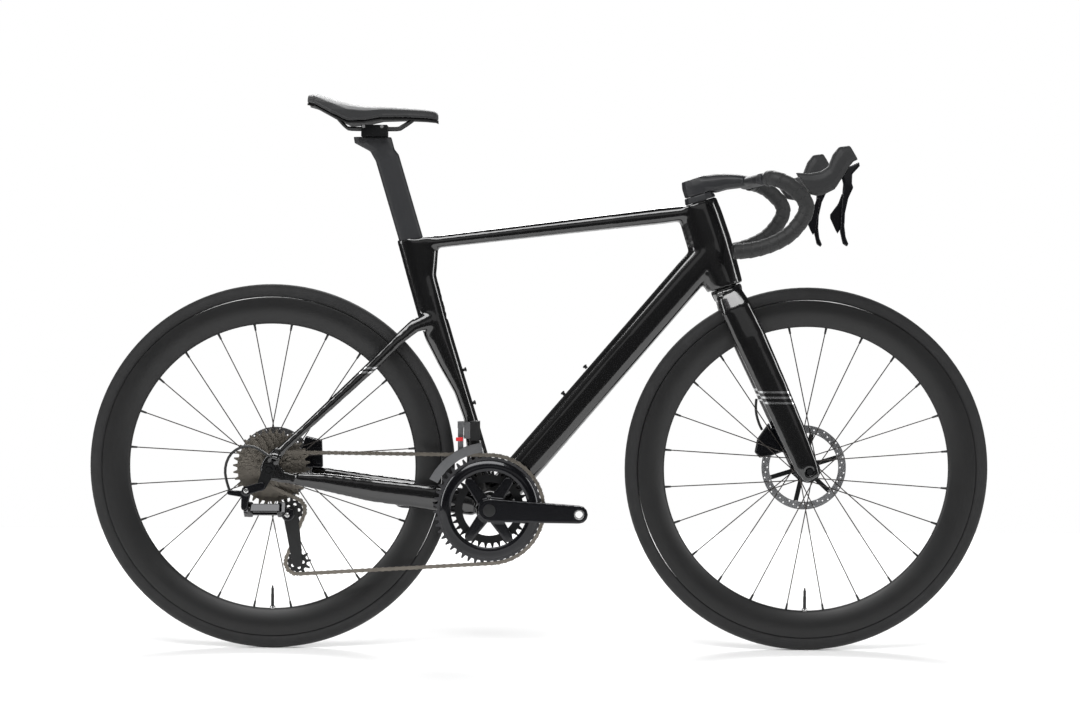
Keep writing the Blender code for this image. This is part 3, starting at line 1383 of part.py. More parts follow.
def make_front_derailleur():
    """The bracket on the seat tube, the swinging link and the cage over the chainrings."""
    y, low, high = FD_PIVOT_Y, FD_PIVOT_Z, FD_PIVOT_Z + FD_LINK_LENGTH
    bracket = block("fd_bracket", (-0.1300, y - 0.0065, low - 0.008), (-0.1120, -0.0192, low + 0.028), "matt_black")
    combine(bracket, x_pin("fd_pin", -0.1425, -0.1290, y, low, FD_PIN))
    link = block("fd_link", (-0.1420, y - 0.0045, low - 0.0045), (-0.1303, y + 0.0045, high + 0.0045), "anodised")
    cut(link, x_pin("fd_hole_low", -0.15, -0.12, y, low, FD_PIN + FIT))
    cut(link, x_pin("fd_hole_high", -0.15, -0.12, y, high, FD_PIN + FIT))
    band = arc(CRANK_AXIS.x, CRANK_AXIS.z, FD_BAND[1], 97, 153, 8) + arc(CRANK_AXIS.x, CRANK_AXIS.z, FD_BAND[0], 153, 97, 8)
    inner_face, outer_face = CHAINLINE + FD_HALF_GAP, CHAINLINE - FD_HALF_GAP
    cage = plate("fd_cage", [band], inner_face, inner_face + FD_PLATE, "silver")
    combine(cage, plate("fd_outer_plate", [band], outer_face - FD_PLATE, outer_face, "silver"))
    for tag, start, end in (("front", 98, 101), ("back", 149, 152)):
        middle = FD_BAND[0] + (0.006 if tag == "front" else 0.003)
        bridge = arc(CRANK_AXIS.x, CRANK_AXIS.z, FD_BAND[1] - 0.001, start, end, 2)
        bridge += arc(CRANK_AXIS.x, CRANK_AXIS.z, middle, end, start, 2)
        combine(cage, plate(f"fd_bridge_{tag}", [bridge], outer_face - 0.0006, inner_face + 0.0006, "silver"))
    arm = block("fd_arm", (-0.1535, outer_face + 0.001, high - 0.0055), (-0.1423, y + 0.0050, high + 0.0055), "matt_black")
    combine(cage, arm)
    drop = block("fd_drop", (-0.1531, inner_face + 0.0002, 0.3720), (-0.1427, inner_face + 0.0030, high), "matt_black")
    combine(cage, drop)
    return bracket, link, combine(cage, x_pin("fd_cage_pin", -0.1480, -0.1305, y, high, FD_PIN))


def build():
    """Makes every piece and hangs it from the body that it moves with."""
    clear_scene()
    cage_angle = settled_cage_angle()
    runs = chain_runs(cage_angle)
    tension = tension_pulley_at(cage_angle)

    frame = make_frame()
    hanger = make_hanger()
    rear_axle = pin("rear_axle", REAR_AXLE, AXLE_RADIUS, -0.0860, 0.0800, "steel", 16)
    combine(rear_axle, pin("rear_axle_head", REAR_AXLE, 0.0095, 0.0783, 0.0815, "steel", 16))
    fd_bracket, fd_link, fd_cage = make_front_derailleur()
    rear_caliper = make_caliper("rear_caliper", REAR_CALIPER, REAR_AXLE, REAR_ROTOR_RADIUS, REAR_ROTOR_Y)
    rear_outer, rear_inner = make_pads("rear_pad", REAR_PAD, REAR_AXLE, REAR_ROTOR_Y)
    housing = wire("shift_housing", HOUSING_ROUTE, HOUSING_RADIUS, "rubber", 2)
    root = make_body(
        "frame",
        (0, 0, 0),
        [
            frame,
            hanger,
            rear_axle,
            make_bottom_bracket(),
            make_bearing("headset_bearing_lower", LOWER_BEARING),
            make_bearing("headset_bearing_upper", UPPER_BEARING),
            make_wedge("seatpost_wedge"),
            fd_bracket,
            rear_caliper,
            make_chain(runs),
            housing,
            make_rd_bracket(),
        ],
    )
    make_body("rear_pad_outer", (0, 0, 0), [rear_outer], root)
    make_body("rear_pad_inner", (0, 0, 0), [rear_inner], root)
    post = make_body("seatpost", seat_point(COLLAR_RISE), [make_seatpost(), make_rail_clamp()], root)
    shell = saddle_layer("saddle_shell", SADDLE_PAD_THICK + FIT, SADDLE_PAD_THICK + SADDLE_SHELL_THICK, "carbon", SADDLE_EDGE)
    pad = saddle_layer("saddle_pad", 0.0, SADDLE_PAD_THICK, "matt_black")
    make_body("saddle", SADDLE_REST, [shell, pad, make_rails()], post)

    front_axle = pin("front_axle", FRONT_AXLE, AXLE_RADIUS, -0.0625, 0.0640, "steel", 16)
    combine(front_axle, pin("front_axle_head", FRONT_AXLE, 0.0095, 0.0626, 0.0655, "steel", 16))
    front_caliper = make_caliper("front_caliper", FRONT_CALIPER, FRONT_AXLE, FRONT_ROTOR_RADIUS, FRONT_ROTOR_Y)
    front_outer, front_inner = make_pads("front_pad", FRONT_PAD, FRONT_AXLE, FRONT_ROTOR_Y)
    front_pieces = [
        make_fork(),
        make_headset_cover(),
        make_cockpit(),
        front_axle,
        front_caliper,
        wire("front_brake_hose", HOSE_ROUTE, HOUSING_RADIUS, "rubber", 2),
    ]
    for side, word in ((-1, "right"), (1, "left")):
        front_pieces += [make_tape(side, word), make_plug(side, word), make_shifter(side, word)]
    steering = make_body("fork", STEER_FOOT, front_pieces, root)
    make_body("front_pad_outer", (0, 0, 0), [front_outer], steering)
    make_body("front_pad_inner", (0, 0, 0), [front_inner], steering)
    for side, word in ((-1, "right"), (1, "left")):
        pivot = LEVER_PIVOT + Vector((0, side * BAR_HALF_WIDTH, 0))
        lever = make_body(f"brake_lever_{word}", pivot, [make_lever(side, word)], steering)
        hinge = PADDLE_PIVOT + Vector((0, side * (BAR_HALF_WIDTH - LEVER_WIDTH / 2 - FIT), 0))
        make_body(f"shift_paddle_{word}", hinge, [make_paddle(side, word)], lever)

    front_end = FRONT_SPACING / 2 - FIT
    front_wheel = [
        make_tyre("front_tyre", FRONT_AXLE),
        make_rim("front_rim", FRONT_AXLE),
        make_hub("front_hub", FRONT_AXLE, FRONT_FLANGES, front_end, -front_end, FRONT_ROTOR_Y),
        make_rotor("front_rotor", FRONT_AXLE, FRONT_ROTOR_RADIUS, FRONT_ROTOR_Y),
    ]
    make_body("front_wheel", FRONT_AXLE, front_wheel, steering)
    rear_end = REAR_SPACING / 2 - FIT
    rear_wheel = [
        make_tyre("rear_tyre", REAR_AXLE),
        make_rim("rear_rim", REAR_AXLE),
        make_hub("rear_hub", REAR_AXLE, REAR_FLANGES, rear_end, FREEHUB_INNER_Y + FIT, REAR_ROTOR_Y),
        make_rotor("rear_rotor", REAR_AXLE, REAR_ROTOR_RADIUS, REAR_ROTOR_Y),
    ]
    make_body("rear_wheel", REAR_AXLE, rear_wheel, root)
    make_body("cassette", REAR_AXLE, list(make_cassette(runs)), root)
    cranks = [make_crank_right(), make_crank_left(), make_outer_chainring(runs), make_inner_chainring()]
    make_body("crank", CRANK_AXIS, cranks, root)

    across = Vector((0, math.cos(LINK_SLANT), -math.sin(LINK_SLANT)))
    inner_pin = LINK_REAR + LINK_GAP * across
    make_body("rd_inner_link", inner_pin, [make_rear_link("rd_inner_link", LINK_GAP)], root)
    outer_link = make_body("rd_outer_link", LINK_REAR, [make_rear_link("rd_outer_link", 0.0)], root)
    knuckle = make_body("rd_p_knuckle", LINK_REAR + Vector((LINK_LENGTH, 0, 0)), [make_p_knuckle()], outer_link)
    cage = make_body("rd_cage", CAGE_PIVOT, [make_rd_cage(tension)], knuckle)
    make_body("guide_pulley", GUIDE_PULLEY, [make_pulley("guide_pulley", GUIDE_PULLEY, tooth_phase(runs, 3))], cage)
    make_body("tension_pulley", tension, [make_pulley("tension_pulley", tension, tooth_phase(runs, 2))], cage)

    fd_low = Vector((-0.136, FD_PIVOT_Y, FD_PIVOT_Z))
    fd_high = fd_low + Vector((0, 0, FD_LINK_LENGTH))
    make_body("fd_cage", fd_high, [fd_cage], make_body("fd_link", fd_low, [fd_link], root))


if __name__ == "__main__":
    build()
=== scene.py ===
"""Looks for an aero road bike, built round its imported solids.

Each sub-assembly is a class that models its own pieces and dresses them. Sizes are in metres
and in the same frame as the solids: +X forward, +Y to the rider's left, +Z up.
"""

from __future__ import annotations

import json
import logging
import math
from dataclasses import dataclass, field, replace
from enum import Enum
from typing import Any, Callable, Sequence

import bpy
from mathutils import Matrix, Vector

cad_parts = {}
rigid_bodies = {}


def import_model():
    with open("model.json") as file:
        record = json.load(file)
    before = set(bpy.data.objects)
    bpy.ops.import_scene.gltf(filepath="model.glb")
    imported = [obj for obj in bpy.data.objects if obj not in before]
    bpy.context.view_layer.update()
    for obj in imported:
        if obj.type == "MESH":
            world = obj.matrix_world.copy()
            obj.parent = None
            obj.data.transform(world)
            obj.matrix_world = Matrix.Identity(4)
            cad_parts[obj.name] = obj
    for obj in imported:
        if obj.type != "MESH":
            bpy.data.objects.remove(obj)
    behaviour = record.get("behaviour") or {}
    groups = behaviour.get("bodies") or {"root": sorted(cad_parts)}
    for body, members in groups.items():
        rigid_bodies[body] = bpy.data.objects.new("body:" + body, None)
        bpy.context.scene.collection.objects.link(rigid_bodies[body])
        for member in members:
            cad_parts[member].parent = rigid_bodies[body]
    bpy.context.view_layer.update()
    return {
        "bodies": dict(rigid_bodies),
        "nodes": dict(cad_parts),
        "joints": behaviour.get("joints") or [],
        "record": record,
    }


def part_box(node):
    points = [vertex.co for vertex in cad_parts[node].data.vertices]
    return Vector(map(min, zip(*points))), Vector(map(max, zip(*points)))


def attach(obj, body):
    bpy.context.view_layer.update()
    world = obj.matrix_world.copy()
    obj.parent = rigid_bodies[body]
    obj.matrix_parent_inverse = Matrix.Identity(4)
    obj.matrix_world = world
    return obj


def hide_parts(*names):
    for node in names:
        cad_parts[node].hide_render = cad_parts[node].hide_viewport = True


LOG = logging.getLogger("road_bike")
MM = 0.001
FULL_TURN = 2 * math.pi
ACROSS = Vector((0, 1, 0))
FRONT_AXLE = Vector((0.5, 0, 0.341))
REAR_AXLE = Vector((-0.5, 0, 0.341))
CRANK_AXIS = Vector((-0.094, 0, 0.267))


class Pattern(Enum):
    """The fine form of a surface."""

    GRAIN = "moulded or blasted grain"
    TURNED = "rings left by turning"
    WEAVE = "crossed carbon tows"
    DOTS = "punched holes in rows"
    BRUSHED = "drawn lines along X"


@dataclass(frozen=True)
class Finish:
    """One surface: what it is made of and how it was made.

    Attributes:
        name: The maker's plain words for it.
        colour: sRGB hex colour.
        metallic: 0 for paint and plastic, 1 for bare metal.
        roughness: Mean roughness of the surface.
        coat: Weight of a clear lacquer over it.
        pattern: The fine form.
        pitch: Real size of one repeat of the pattern, in metres.
        depth: Height of the pattern, in metres.
        mottle: Share by which the colour darkens in patches.
        centre: Point that turned rings run round.
        sheen: Weight of the soft edge light of fabric and rubber.
    """

    name: str
    colour: str
    metallic: float = 0.0
    roughness: float = 0.5
    coat: float = 0.0
    pattern: Pattern = Pattern.GRAIN
    pitch: float = 0.8 * MM
    depth: float = 0.02 * MM
    mottle: float = 0.15
    centre: tuple[float, float, float] = (0.0, 0.0, 0.0)
    sheen: float = 0.0


@dataclass(frozen=True)
class Stripes:
    """Silver bands painted across a tube.

    Attributes:
        heights: Lowest and highest Z of each band.
        x_limits: Lowest and highest X at which the bands show.
    """

    heights: tuple[tuple[float, float], ...]
    x_limits: tuple[float, float]


# Clear-lacquered black over carbon: deep and wet, with a faint orange-peel wave
LACQUER = Finish("black_lacquer", "#020203", roughness=0.2, coat=1.0, pitch=9 * MM, depth=0.02 * MM, mottle=0.3)
# Satin carbon under a matt clear coat: soft wide highlights, tows barely seen
SATIN_CARBON = Finish(
    "satin_carbon", "#070708", roughness=0.42, pattern=Pattern.WEAVE, pitch=3 * MM, depth=0.01 * MM, mottle=0.25
)
# Matt painted carbon of the post, bar and stem
MATT_PAINT = Finish("matt_black_paint", "#1b1c1f", roughness=0.48, pitch=0.6 * MM, depth=0.015 * MM)
# Tyre rubber: charcoal, dull, with a fine filed tread
TYRE_RUBBER = Finish("tyre_rubber", "#141415", roughness=0.78, pitch=1.6 * MM, depth=0.12 * MM, sheen=0.05)
# Moulded hood rubber: matt, with a fine spark-eroded grain
HOOD_RUBBER = Finish("hood_rubber", "#101113", roughness=0.62, pitch=0.9 * MM, depth=0.06 * MM, sheen=0.15)
# Perforated synthetic tape: rows of small dimples, drawn 3 mm apart so that they show
BAR_TAPE = Finish(
    "bar_tape", "#0e0f10", roughness=0.6, pattern=Pattern.DOTS, pitch=3 * MM, depth=0.35 * MM, sheen=0.2
)
# Saddle cover: thin matt synthetic leather with a fine pebble
SADDLE_COVER = Finish("saddle_cover", "#131416", roughness=0.55, pitch=1.2 * MM, depth=0.05 * MM, sheen=0.25)
# Glass-filled nylon: black, half matt
BLACK_NYLON = Finish("black_nylon", "#0a0b0c", roughness=0.42, pitch=0.7 * MM, depth=0.02 * MM)
# Polished and anodised crank alloy: near black with a blue cast
DARK_ALLOY = Finish("dark_polished_alloy", "#0d0e13", metallic=0.6, roughness=0.2, coat=0.5, pitch=5 * MM)
# Black anodised turned alloy of hubs
ANODISED = Finish("black_anodised", "#0d0e10", metallic=0.5, roughness=0.35, pattern=Pattern.BRUSHED, pitch=0.5 * MM)
# Nickel-plated chain and sprocket steel: warm grey with oil in its joints
PLATED_STEEL = Finish("plated_steel", "#918b82", metallic=1.0, roughness=0.36, pitch=1.5 * MM, mottle=0.45)
# Anodised ring teeth, worn to bare alloy where the chain runs
RING_ALLOY = Finish("ring_alloy", "#4a4a4c", metallic=0.8, roughness=0.35, pitch=0.5 * MM)
# Ground stainless steel of the rotor track
GROUND_STEEL = Finish("ground_steel", "#8e8f91", metallic=1.0, roughness=0.34, pattern=Pattern.BRUSHED, pitch=0.4 * MM)
# Bright stainless bolts and nuts
BRIGHT_STEEL = Finish("bright_steel", "#c9c9c9", metallic=1.0, roughness=0.2, pitch=1.0 * MM)
# Drawn bladed spokes: dark steel-brown
SPOKE_STEEL = Finish("spoke_steel", "#4b4745", metallic=0.9, roughness=0.3, pitch=1.0 * MM)
# Red moulded clip of the front derailleur
RED_NYLON = Finish("red_nylon", "#c01820", roughness=0.4, pitch=0.7 * MM)
# Sintered pad backing: dull bronze
PAD_STEEL = Finish("pad_steel", "#5d5650", metallic=0.8, roughness=0.5, pitch=0.8 * MM, mottle=0.4)
# Painted studio floor
FLOOR_PAINT = Finish("floor_paint", "#fbfbfb", roughness=0.9, pitch=40 * MM, depth=0.0, mottle=0.01)


def linear_from_hex(text: str) -> tuple[float, float, float, float]:
    """Turns an sRGB hex colour into linear light.

    Args:
        text: Colour as "#rrggbb".

    Returns:
        Linear red, green, blue and an alpha of 1.
    """
    parts = [int(text[i : i + 2], 16) / 255 for i in (1, 3, 5)]
    bright = [p / 12.92 if p <= 0.04045 else ((p + 0.055) / 1.055) ** 2.4 for p in parts]
    return bright[0], bright[1], bright[2], 1.0


def add_node(
    tree: bpy.types.NodeTree, kind: str, settings: dict[str, Any] | None = None, links: dict[Any, Any] | None = None
) -> bpy.types.Node:
    """Adds one shader node.

    Args:
        tree: Node tree that it goes into.
        kind: Blender's name of the node type.
        settings: Properties, or input values where the name is an input's.
        links: Input name or number to the output socket that feeds it.

    Returns:
        The new node.
    """
    node = tree.nodes.new(kind)
    for key, value in (settings or {}).items():
        if isinstance(key, int) or key in node.inputs:
            node.inputs[key].default_value = value
        else:
            setattr(node, key, value)
    for key, socket in (links or {}).items():
        tree.links.new(socket, node.inputs[key])
    return node


def turned(finish: Finish, centre: Vector) -> Finish:
    """Returns a finish with rings left by turning about a point."""
    return replace(finish, pattern=Pattern.TURNED, centre=tuple(centre))


class Paintbox:
    """Makes each finish's material once and hands it out."""

    def __init__(self) -> None:
        """Starts with no materials made."""
        self.made: dict[str, bpy.types.Material] = {}

    def material(self, finish: Finish, stripes: Stripes | None = None) -> bpy.types.Material:
        """Returns the material of a finish, with silver stripes if asked.

        Args:
            finish: Surface wanted.
            stripes: Painted bands, or None.

        Returns:
            The material.
        """
        key = finish.name + ("_striped" if stripes else "")
        if stripes:
            key += f"_{round(stripes.heights[0][0] * 1000)}"
        if finish.pattern is Pattern.TURNED:
            key += f"_{round(finish.centre[0] * 1000)}"
        if key not in self.made:
            self.made[key] = self.build(key, finish, stripes)
        return self.made[key]

    def build(self, key: str, finish: Finish, stripes: Stripes | None) -> bpy.types.Material:
        """Builds one material's nodes.

        Args:
            key: The material's name.
            finish: Surface wanted.
            stripes: Painted bands, or None.

        Returns:
            The material.
        """
        material = bpy.data.materials.new(key)
        material.use_nodes = True
        tree = material.node_tree
        tree.nodes.clear()
        place = add_node(tree, "ShaderNodeTexCoord").outputs["Object"]
        height = self.pattern_height(tree, finish, place)
        patches = add_node(
            tree, "ShaderNodeTexNoise", {"Scale": 1 / (finish.pitch * 14), "Detail": 3.0}, {"Vector": place}
        )
        base = linear_from_hex(finish.colour)
        dark = tuple(c * (1 - finish.mottle) for c in base[:3]) + (1.0,)
        colour = add_node(tree, "ShaderNodeMix", {"data_type": "RGBA", 6: base, 7: dark}, {0: patches.outputs["Fac"]})
        low = max(finish.roughness * 0.88, 0.02)
        rough = add_node(
            tree,
            "ShaderNodeMapRange",
            {"To Min": low, "To Max": min(finish.roughness * 1.12, 1.0)},
            {"Value": patches.outputs["Fac"]},
        )
        shader = add_node(
            tree,
            "ShaderNodeBsdfPrincipled",
            {"Coat Weight": finish.coat, "Coat Roughness": 0.04, "Sheen Weight": finish.sheen},
            {"Base Color": colour.outputs[2], "Roughness": rough.outputs[0]},
        )
        if finish.depth > 0:
            bump = add_node(tree, "ShaderNodeBump", {"Strength": 0.5, "Distance": finish.depth}, {"Height": height})
            tree.links.new(bump.outputs[0], shader.inputs["Normal"])
        if stripes:
            mask = self.stripe_mask(tree, stripes, place)
            silver = add_node(
                tree,
                "ShaderNodeMix",
                {"data_type": "RGBA", 7: linear_from_hex("#b9babb")},
                {0: mask, 6: colour.outputs[2]},
            )
            tree.links.new(silver.outputs[2], shader.inputs["Base Color"])
            tree.links.new(mask, shader.inputs["Metallic"])
        else:
            shader.inputs["Metallic"].default_value = finish.metallic
        add_node(tree, "ShaderNodeOutputMaterial", {}, {"Surface": shader.outputs[0]})
        return material

    def pattern_height(
        self, tree: bpy.types.NodeTree, finish: Finish, place: bpy.types.NodeSocket
    ) -> bpy.types.NodeSocket:
        """Adds the nodes of a finish's fine form.

        Args:
            tree: Node tree to add to.
            finish: Surface wanted.
            place: Object coordinates.

        Returns:
            The height socket, from 0 to 1.
        """
        per_metre = 1 / finish.pitch
        if finish.pattern is Pattern.WEAVE:
            check = add_node(tree, "ShaderNodeTexChecker", {"Scale": per_metre}, {"Vector": place})
            return check.outputs["Fac"]
        if finish.pattern is Pattern.DOTS:
            cells = add_node(
                tree, "ShaderNodeTexVoronoi", {"Scale": per_metre, "Randomness": 0.15}, {"Vector": place}
            )
            dots = add_node(
                tree,
                "ShaderNodeMapRange",
                {"From Min": 0.15, "From Max": 0.4},
                {"Value": cells.outputs["Distance"]},
            )
            return dots.outputs[0]
        if finish.pattern is Pattern.BRUSHED:
            squeeze = add_node(tree, "ShaderNodeMapping", {"Scale": (0.06, 1.0, 1.0)}, {"Vector": place})
            lines = add_node(
                tree, "ShaderNodeTexNoise", {"Scale": per_metre, "Detail": 2.0}, {"Vector": squeeze.outputs[0]}
            )
            return lines.outputs["Fac"]
        if finish.pattern is Pattern.TURNED:
            shift = tuple(-c for c in finish.centre)
            centred = add_node(tree, "ShaderNodeMapping", {"Location": shift}, {"Vector": place})
            rings = add_node(
                tree,
                "ShaderNodeTexWave",
                {"wave_type": "RINGS", "rings_direction": "Y", "Scale": per_metre / 2, "Distortion": 0.4},
                {"Vector": centred.outputs[0]},
            )
            return rings.outputs["Fac"]
        grain = add_node(tree, "ShaderNodeTexNoise", {"Scale": per_metre, "Detail": 2.0}, {"Vector": place})
        return grain.outputs["Fac"]

    def stripe_mask(
        self, tree: bpy.types.NodeTree, stripes: Stripes, place: bpy.types.NodeSocket
    ) -> bpy.types.NodeSocket:
        """Adds the nodes that are 1 on painted bands and 0 elsewhere.

        Args:
            tree: Node tree to add to.
            stripes: The bands.
            place: Object coordinates.

        Returns:
            The mask socket.
        """
        axes = add_node(tree, "ShaderNodeSeparateXYZ", {}, {0: place})
        total = None
        for low, high in stripes.heights:
            middle, half = (low + high) / 2, (high - low) / 2
            band = add_node(
                tree,
                "ShaderNodeMath",
                {"operation": "COMPARE", 1: middle, 2: half},
                {0: axes.outputs["Z"]},
            )
            if total is None:
                total = band.outputs[0]
            else:
                total = add_node(
                    tree, "ShaderNodeMath", {"operation": "MAXIMUM"}, {0: total, 1: band.outputs[0]}
                ).outputs[0]
        left, right = stripes.x_limits
        along = add_node(
            tree,
            "ShaderNodeMath",
            {"operation": "COMPARE", 1: (left + right) / 2, 2: (right - left) / 2},
            {0: axes.outputs["X"]},
        )
        both = add_node(tree, "ShaderNodeMath", {"operation": "MULTIPLY"}, {0: total, 1: along.outputs[0]})
        return both.outputs[0]


def pick(piece: bpy.types.Object) -> None:
    """Makes one object the only selected and active one."""
    bpy.ops.object.select_all(action="DESELECT")
    piece.select_set(True)
    bpy.context.view_layer.objects.active = piece


def new_piece(name: str) -> bpy.types.Object:
    """Names the primitive that was just added and returns it."""
    piece = bpy.context.object
    piece.name = name
    piece.data.name = name
    return piece


def close_up(piece: bpy.types.Object, weld: float = 1e-6, angle: float = 35.0, cap: bool = False) -> bpy.types.Object:
    """Welds a piece's doubles, turns its faces outwards and shades it.

    Args:
        piece: The piece.
        weld: Distance under which points are merged.
        angle: Edges sharper than this, in degrees, stay sharp.
        cap: True to fill the open ends.

    Returns:
        The same piece.
    """
    pick(piece)
    bpy.ops.object.mode_set(mode="EDIT")
    bpy.ops.mesh.select_all(action="SELECT")
    bpy.ops.mesh.remove_doubles(threshold=weld)
    if cap:
        bpy.ops.mesh.fill_holes(sides=0)
    bpy.ops.mesh.select_all(action="SELECT")
    bpy.ops.mesh.normals_make_consistent(inside=False)
    bpy.ops.object.mode_set(mode="OBJECT")
    bpy.ops.object.shade_smooth_by_angle(angle=math.radians(angle))
    return piece


def apply_all(piece: bpy.types.Object) -> bpy.types.Object:
    """Applies every modifier of a piece, in order."""
    pick(piece)
    for modifier in list(piece.modifiers):
        bpy.ops.object.modifier_apply(modifier=modifier.name)
    return piece


def revolve(
    name: str, profile: Sequence[tuple[float, float]], centre: Vector, steps: int = 96, axis: Vector = ACROSS
) -> bpy.types.Object:
    """Spins a closed loop of (radius, along) points round an axis.

    Args:
        name: The piece's name.
        profile: The loop.
        centre: Point on the axis from which along is measured.
        steps: Number of segments round.
        axis: Direction of the axis.

    Returns:
        The ring or solid.
    """
    bpy.ops.object.select_all(action="DESELECT")
    bpy.ops.mesh.primitive_circle_add(vertices=len(profile), radius=1.0, location=(0, 0, 0))
    piece = new_piece(name)
    outward = Vector((1, 0, 0)) if abs(axis.x) < 0.5 else Vector((0, 0, 1))
    outward = (outward - outward.dot(axis) * axis).normalized()
    for vert, (radius, along) in zip(piece.data.vertices, profile):
        vert.co = centre + radius * outward + along * axis
    bpy.ops.object.mode_set(mode="EDIT")
    bpy.ops.mesh.select_all(action="SELECT")
    bpy.ops.mesh.spin(steps=steps, angle=FULL_TURN, center=centre, axis=axis)
    bpy.ops.object.mode_set(mode="OBJECT")
    return close_up(piece)


def smooth_path(points: Sequence[Sequence[float]], spacing: float) -> list[Vector]:
    """Returns points about spacing apart on a smooth curve through the given ones.

    Args:
        points: Points that the curve passes.
        spacing: Distance wanted between the points returned.

    Returns:
        The closer points.
    """
    p = [Vector(q) for q in points]
    p = [2 * p[0] - p[1], *p, 2 * p[-1] - p[-2]]
    out = []
    for a, b, c, d in zip(p, p[1:], p[2:], p[3:]):
        steps = max(2, round((c - b).length / spacing))
        for k in range(steps):
            t = k / steps
            square = (2 * a - 5 * b + 4 * c - d) * t * t
            out.append(0.5 * (2 * b + (c - a) * t + square + (3 * b - a - 3 * c + d) * t**3))
    out.append(p[-2])
    return out


def sweep(
    name: str, path: Sequence[Vector], radius: Callable[[float, float], float], sides: int = 16
) -> bpy.types.Object:
    """Carries a round section along a path.

    Args:
        name: The piece's name.
        path: Points on the centre line.
        radius: Gives the radius from the length along the path and the angle round it.
        sides: Number of faces round.

    Returns:
        A closed tube.
    """
    count = len(path) - 1
    normals, ways, reach = [], [], [0.0]
    normal = None
    for i, point in enumerate(path):
        way = (path[min(i + 1, count)] - path[max(i - 1, 0)]).normalized()
        normal = way.orthogonal() if normal is None else normal - normal.dot(way) * way
        normal = normal.normalized()
        normals.append(normal)
        ways.append(way)
        if i:
            reach.append(reach[-1] + (point - path[i - 1]).length)
    bpy.ops.object.select_all(action="DESELECT")
    bpy.ops.mesh.primitive_grid_add(x_subdivisions=count, y_subdivisions=sides, size=1.0, location=(0, 0, 0))
    piece = new_piece(name)
    for vert in piece.data.vertices:
        i = round((vert.co.x + 0.5) * count)
        turn = (vert.co.y + 0.5) * FULL_TURN
        side = ways[i].cross(normals[i])
        arm = math.cos(turn) * normals[i] + math.sin(turn) * side
        vert.co = path[i] + radius(reach[i], turn) * arm
    return close_up(piece, cap=True)


def toothed_disc(
    name: str,
    centre: Vector,
    y: float,
    thick: float,
    teeth: int,
    radii: tuple[float, float],
    phase: float = 0.0,
    widths: tuple[float, float] = (0.30, 0.10),
    bore: float = 0.0,
) -> bpy.types.Object:
    """Makes a flat disc with teeth or arms, square to Y.

    Args:
        name: The piece's name.
        centre: Point on its axis.
        y: Y of its middle plane.
        thick: Its thickness.
        teeth: Number of teeth or arms.
        radii: Radius at the root and at the tip.
        phase: Angle of one tooth.
        widths: Half widths at the root and at the tip, as shares of the tooth spacing.
        bore: Radius of the hole in the middle, or 0.

    Returns:
        The disc.
    """
    bpy.ops.object.select_all(action="DESELECT")
    bpy.ops.mesh.primitive_circle_add(vertices=teeth * 4, radius=1.0, fill_type="NGON", location=(0, 0, 0))
    piece = new_piece(name)
    root, tip = radii
    corners = ((root, -widths[0]), (tip, -widths[1]), (tip, widths[1]), (root, widths[0]))
    for i, vert in enumerate(piece.data.vertices):
        radius, share = corners[i % 4]
        turn = phase + FULL_TURN * (i // 4 + share) / teeth
        vert.co = Vector((centre.x + radius * math.cos(turn), y, centre.z + radius * math.sin(turn)))
    solid = piece.modifiers.new("thickness", "SOLIDIFY")
    solid.thickness = thick
    solid.offset = 0.0
    apply_all(piece)
    close_up(piece, weld=1e-7)
    if bore:
        carve(piece, rod_across(name + "_bore", [(centre.x, centre.z, bore)], y - 0.02, y + 0.02, 48))
    return piece


def rod_across(
    name: str, spots: Sequence[tuple[float, float, float]], low: float, high: float, sides: int = 16
) -> bpy.types.Object:
    """Makes round rods along Y as one piece.

    Args:
        name: The piece's name.
        spots: X, Z and radius of each rod.
        low: Y where they start.
        high: Y where they end.
        sides: Faces round each.

    Returns:
        The rods, joined.
    """
    rods = []
    for x, z, radius in spots:
        bpy.ops.object.select_all(action="DESELECT")
        bpy.ops.mesh.primitive_cylinder_add(vertices=sides, radius=radius, depth=high - low, location=(0, 0, 0))
        rod = new_piece(name)
        turn = Matrix.Rotation(math.pi / 2, 4, "X")
        rod.data.transform(Matrix.Translation((x, (low + high) / 2, z)) @ turn)
        rods.append(rod)
    return join(name, rods)


def join(name: str, pieces: Sequence[bpy.types.Object]) -> bpy.types.Object:
    """Joins pieces into one object of that name."""
    bpy.ops.object.select_all(action="DESELECT")
    for piece in pieces:
        piece.select_set(True)
    bpy.context.view_layer.objects.active = pieces[0]
    if len(pieces) > 1:
        bpy.ops.object.join()
    return new_piece(name)


def carve(piece: bpy.types.Object, cutter: bpy.types.Object) -> bpy.types.Object:
    """Cuts one object out of another and removes the cutter."""
    modifier = piece.modifiers.new("cut", "BOOLEAN")
    modifier.operation = "DIFFERENCE"
    modifier.solver = "EXACT"
    modifier.object = cutter
    apply_all(piece)
    bpy.data.objects.remove(cutter)
    return piece


def repeat(name: str, model: bpy.types.Object, places: Sequence[Matrix]) -> bpy.types.Object:
    """Copies a model to each place, each copy with its own mesh, and joins them.

    Args:
        name: Name of the joined piece.
        model: The one that is copied, and then removed.
        places: Transform of each copy.

    Returns:
        The joined copies.
    """
    copies = []
    for place in places:
        twin = model.copy()
        twin.data = model.data.copy()
        twin.data.transform(place)
        bpy.context.scene.collection.objects.link(twin)
        copies.append(twin)
    bpy.data.objects.remove(model)
    return join(name, copies)


def oriented(origin: Vector, forward: Vector, up_hint: Vector) -> Matrix:
    """Returns the transform that puts a model's +X along forward, from an origin."""
    x = forward.normalized()
    z = (up_hint - up_hint.dot(x) * x).normalized()
    y = z.cross(x)
    turn = Matrix((x, y, z)).transposed().to_4x4()
    return Matrix.Translation(origin) @ turn


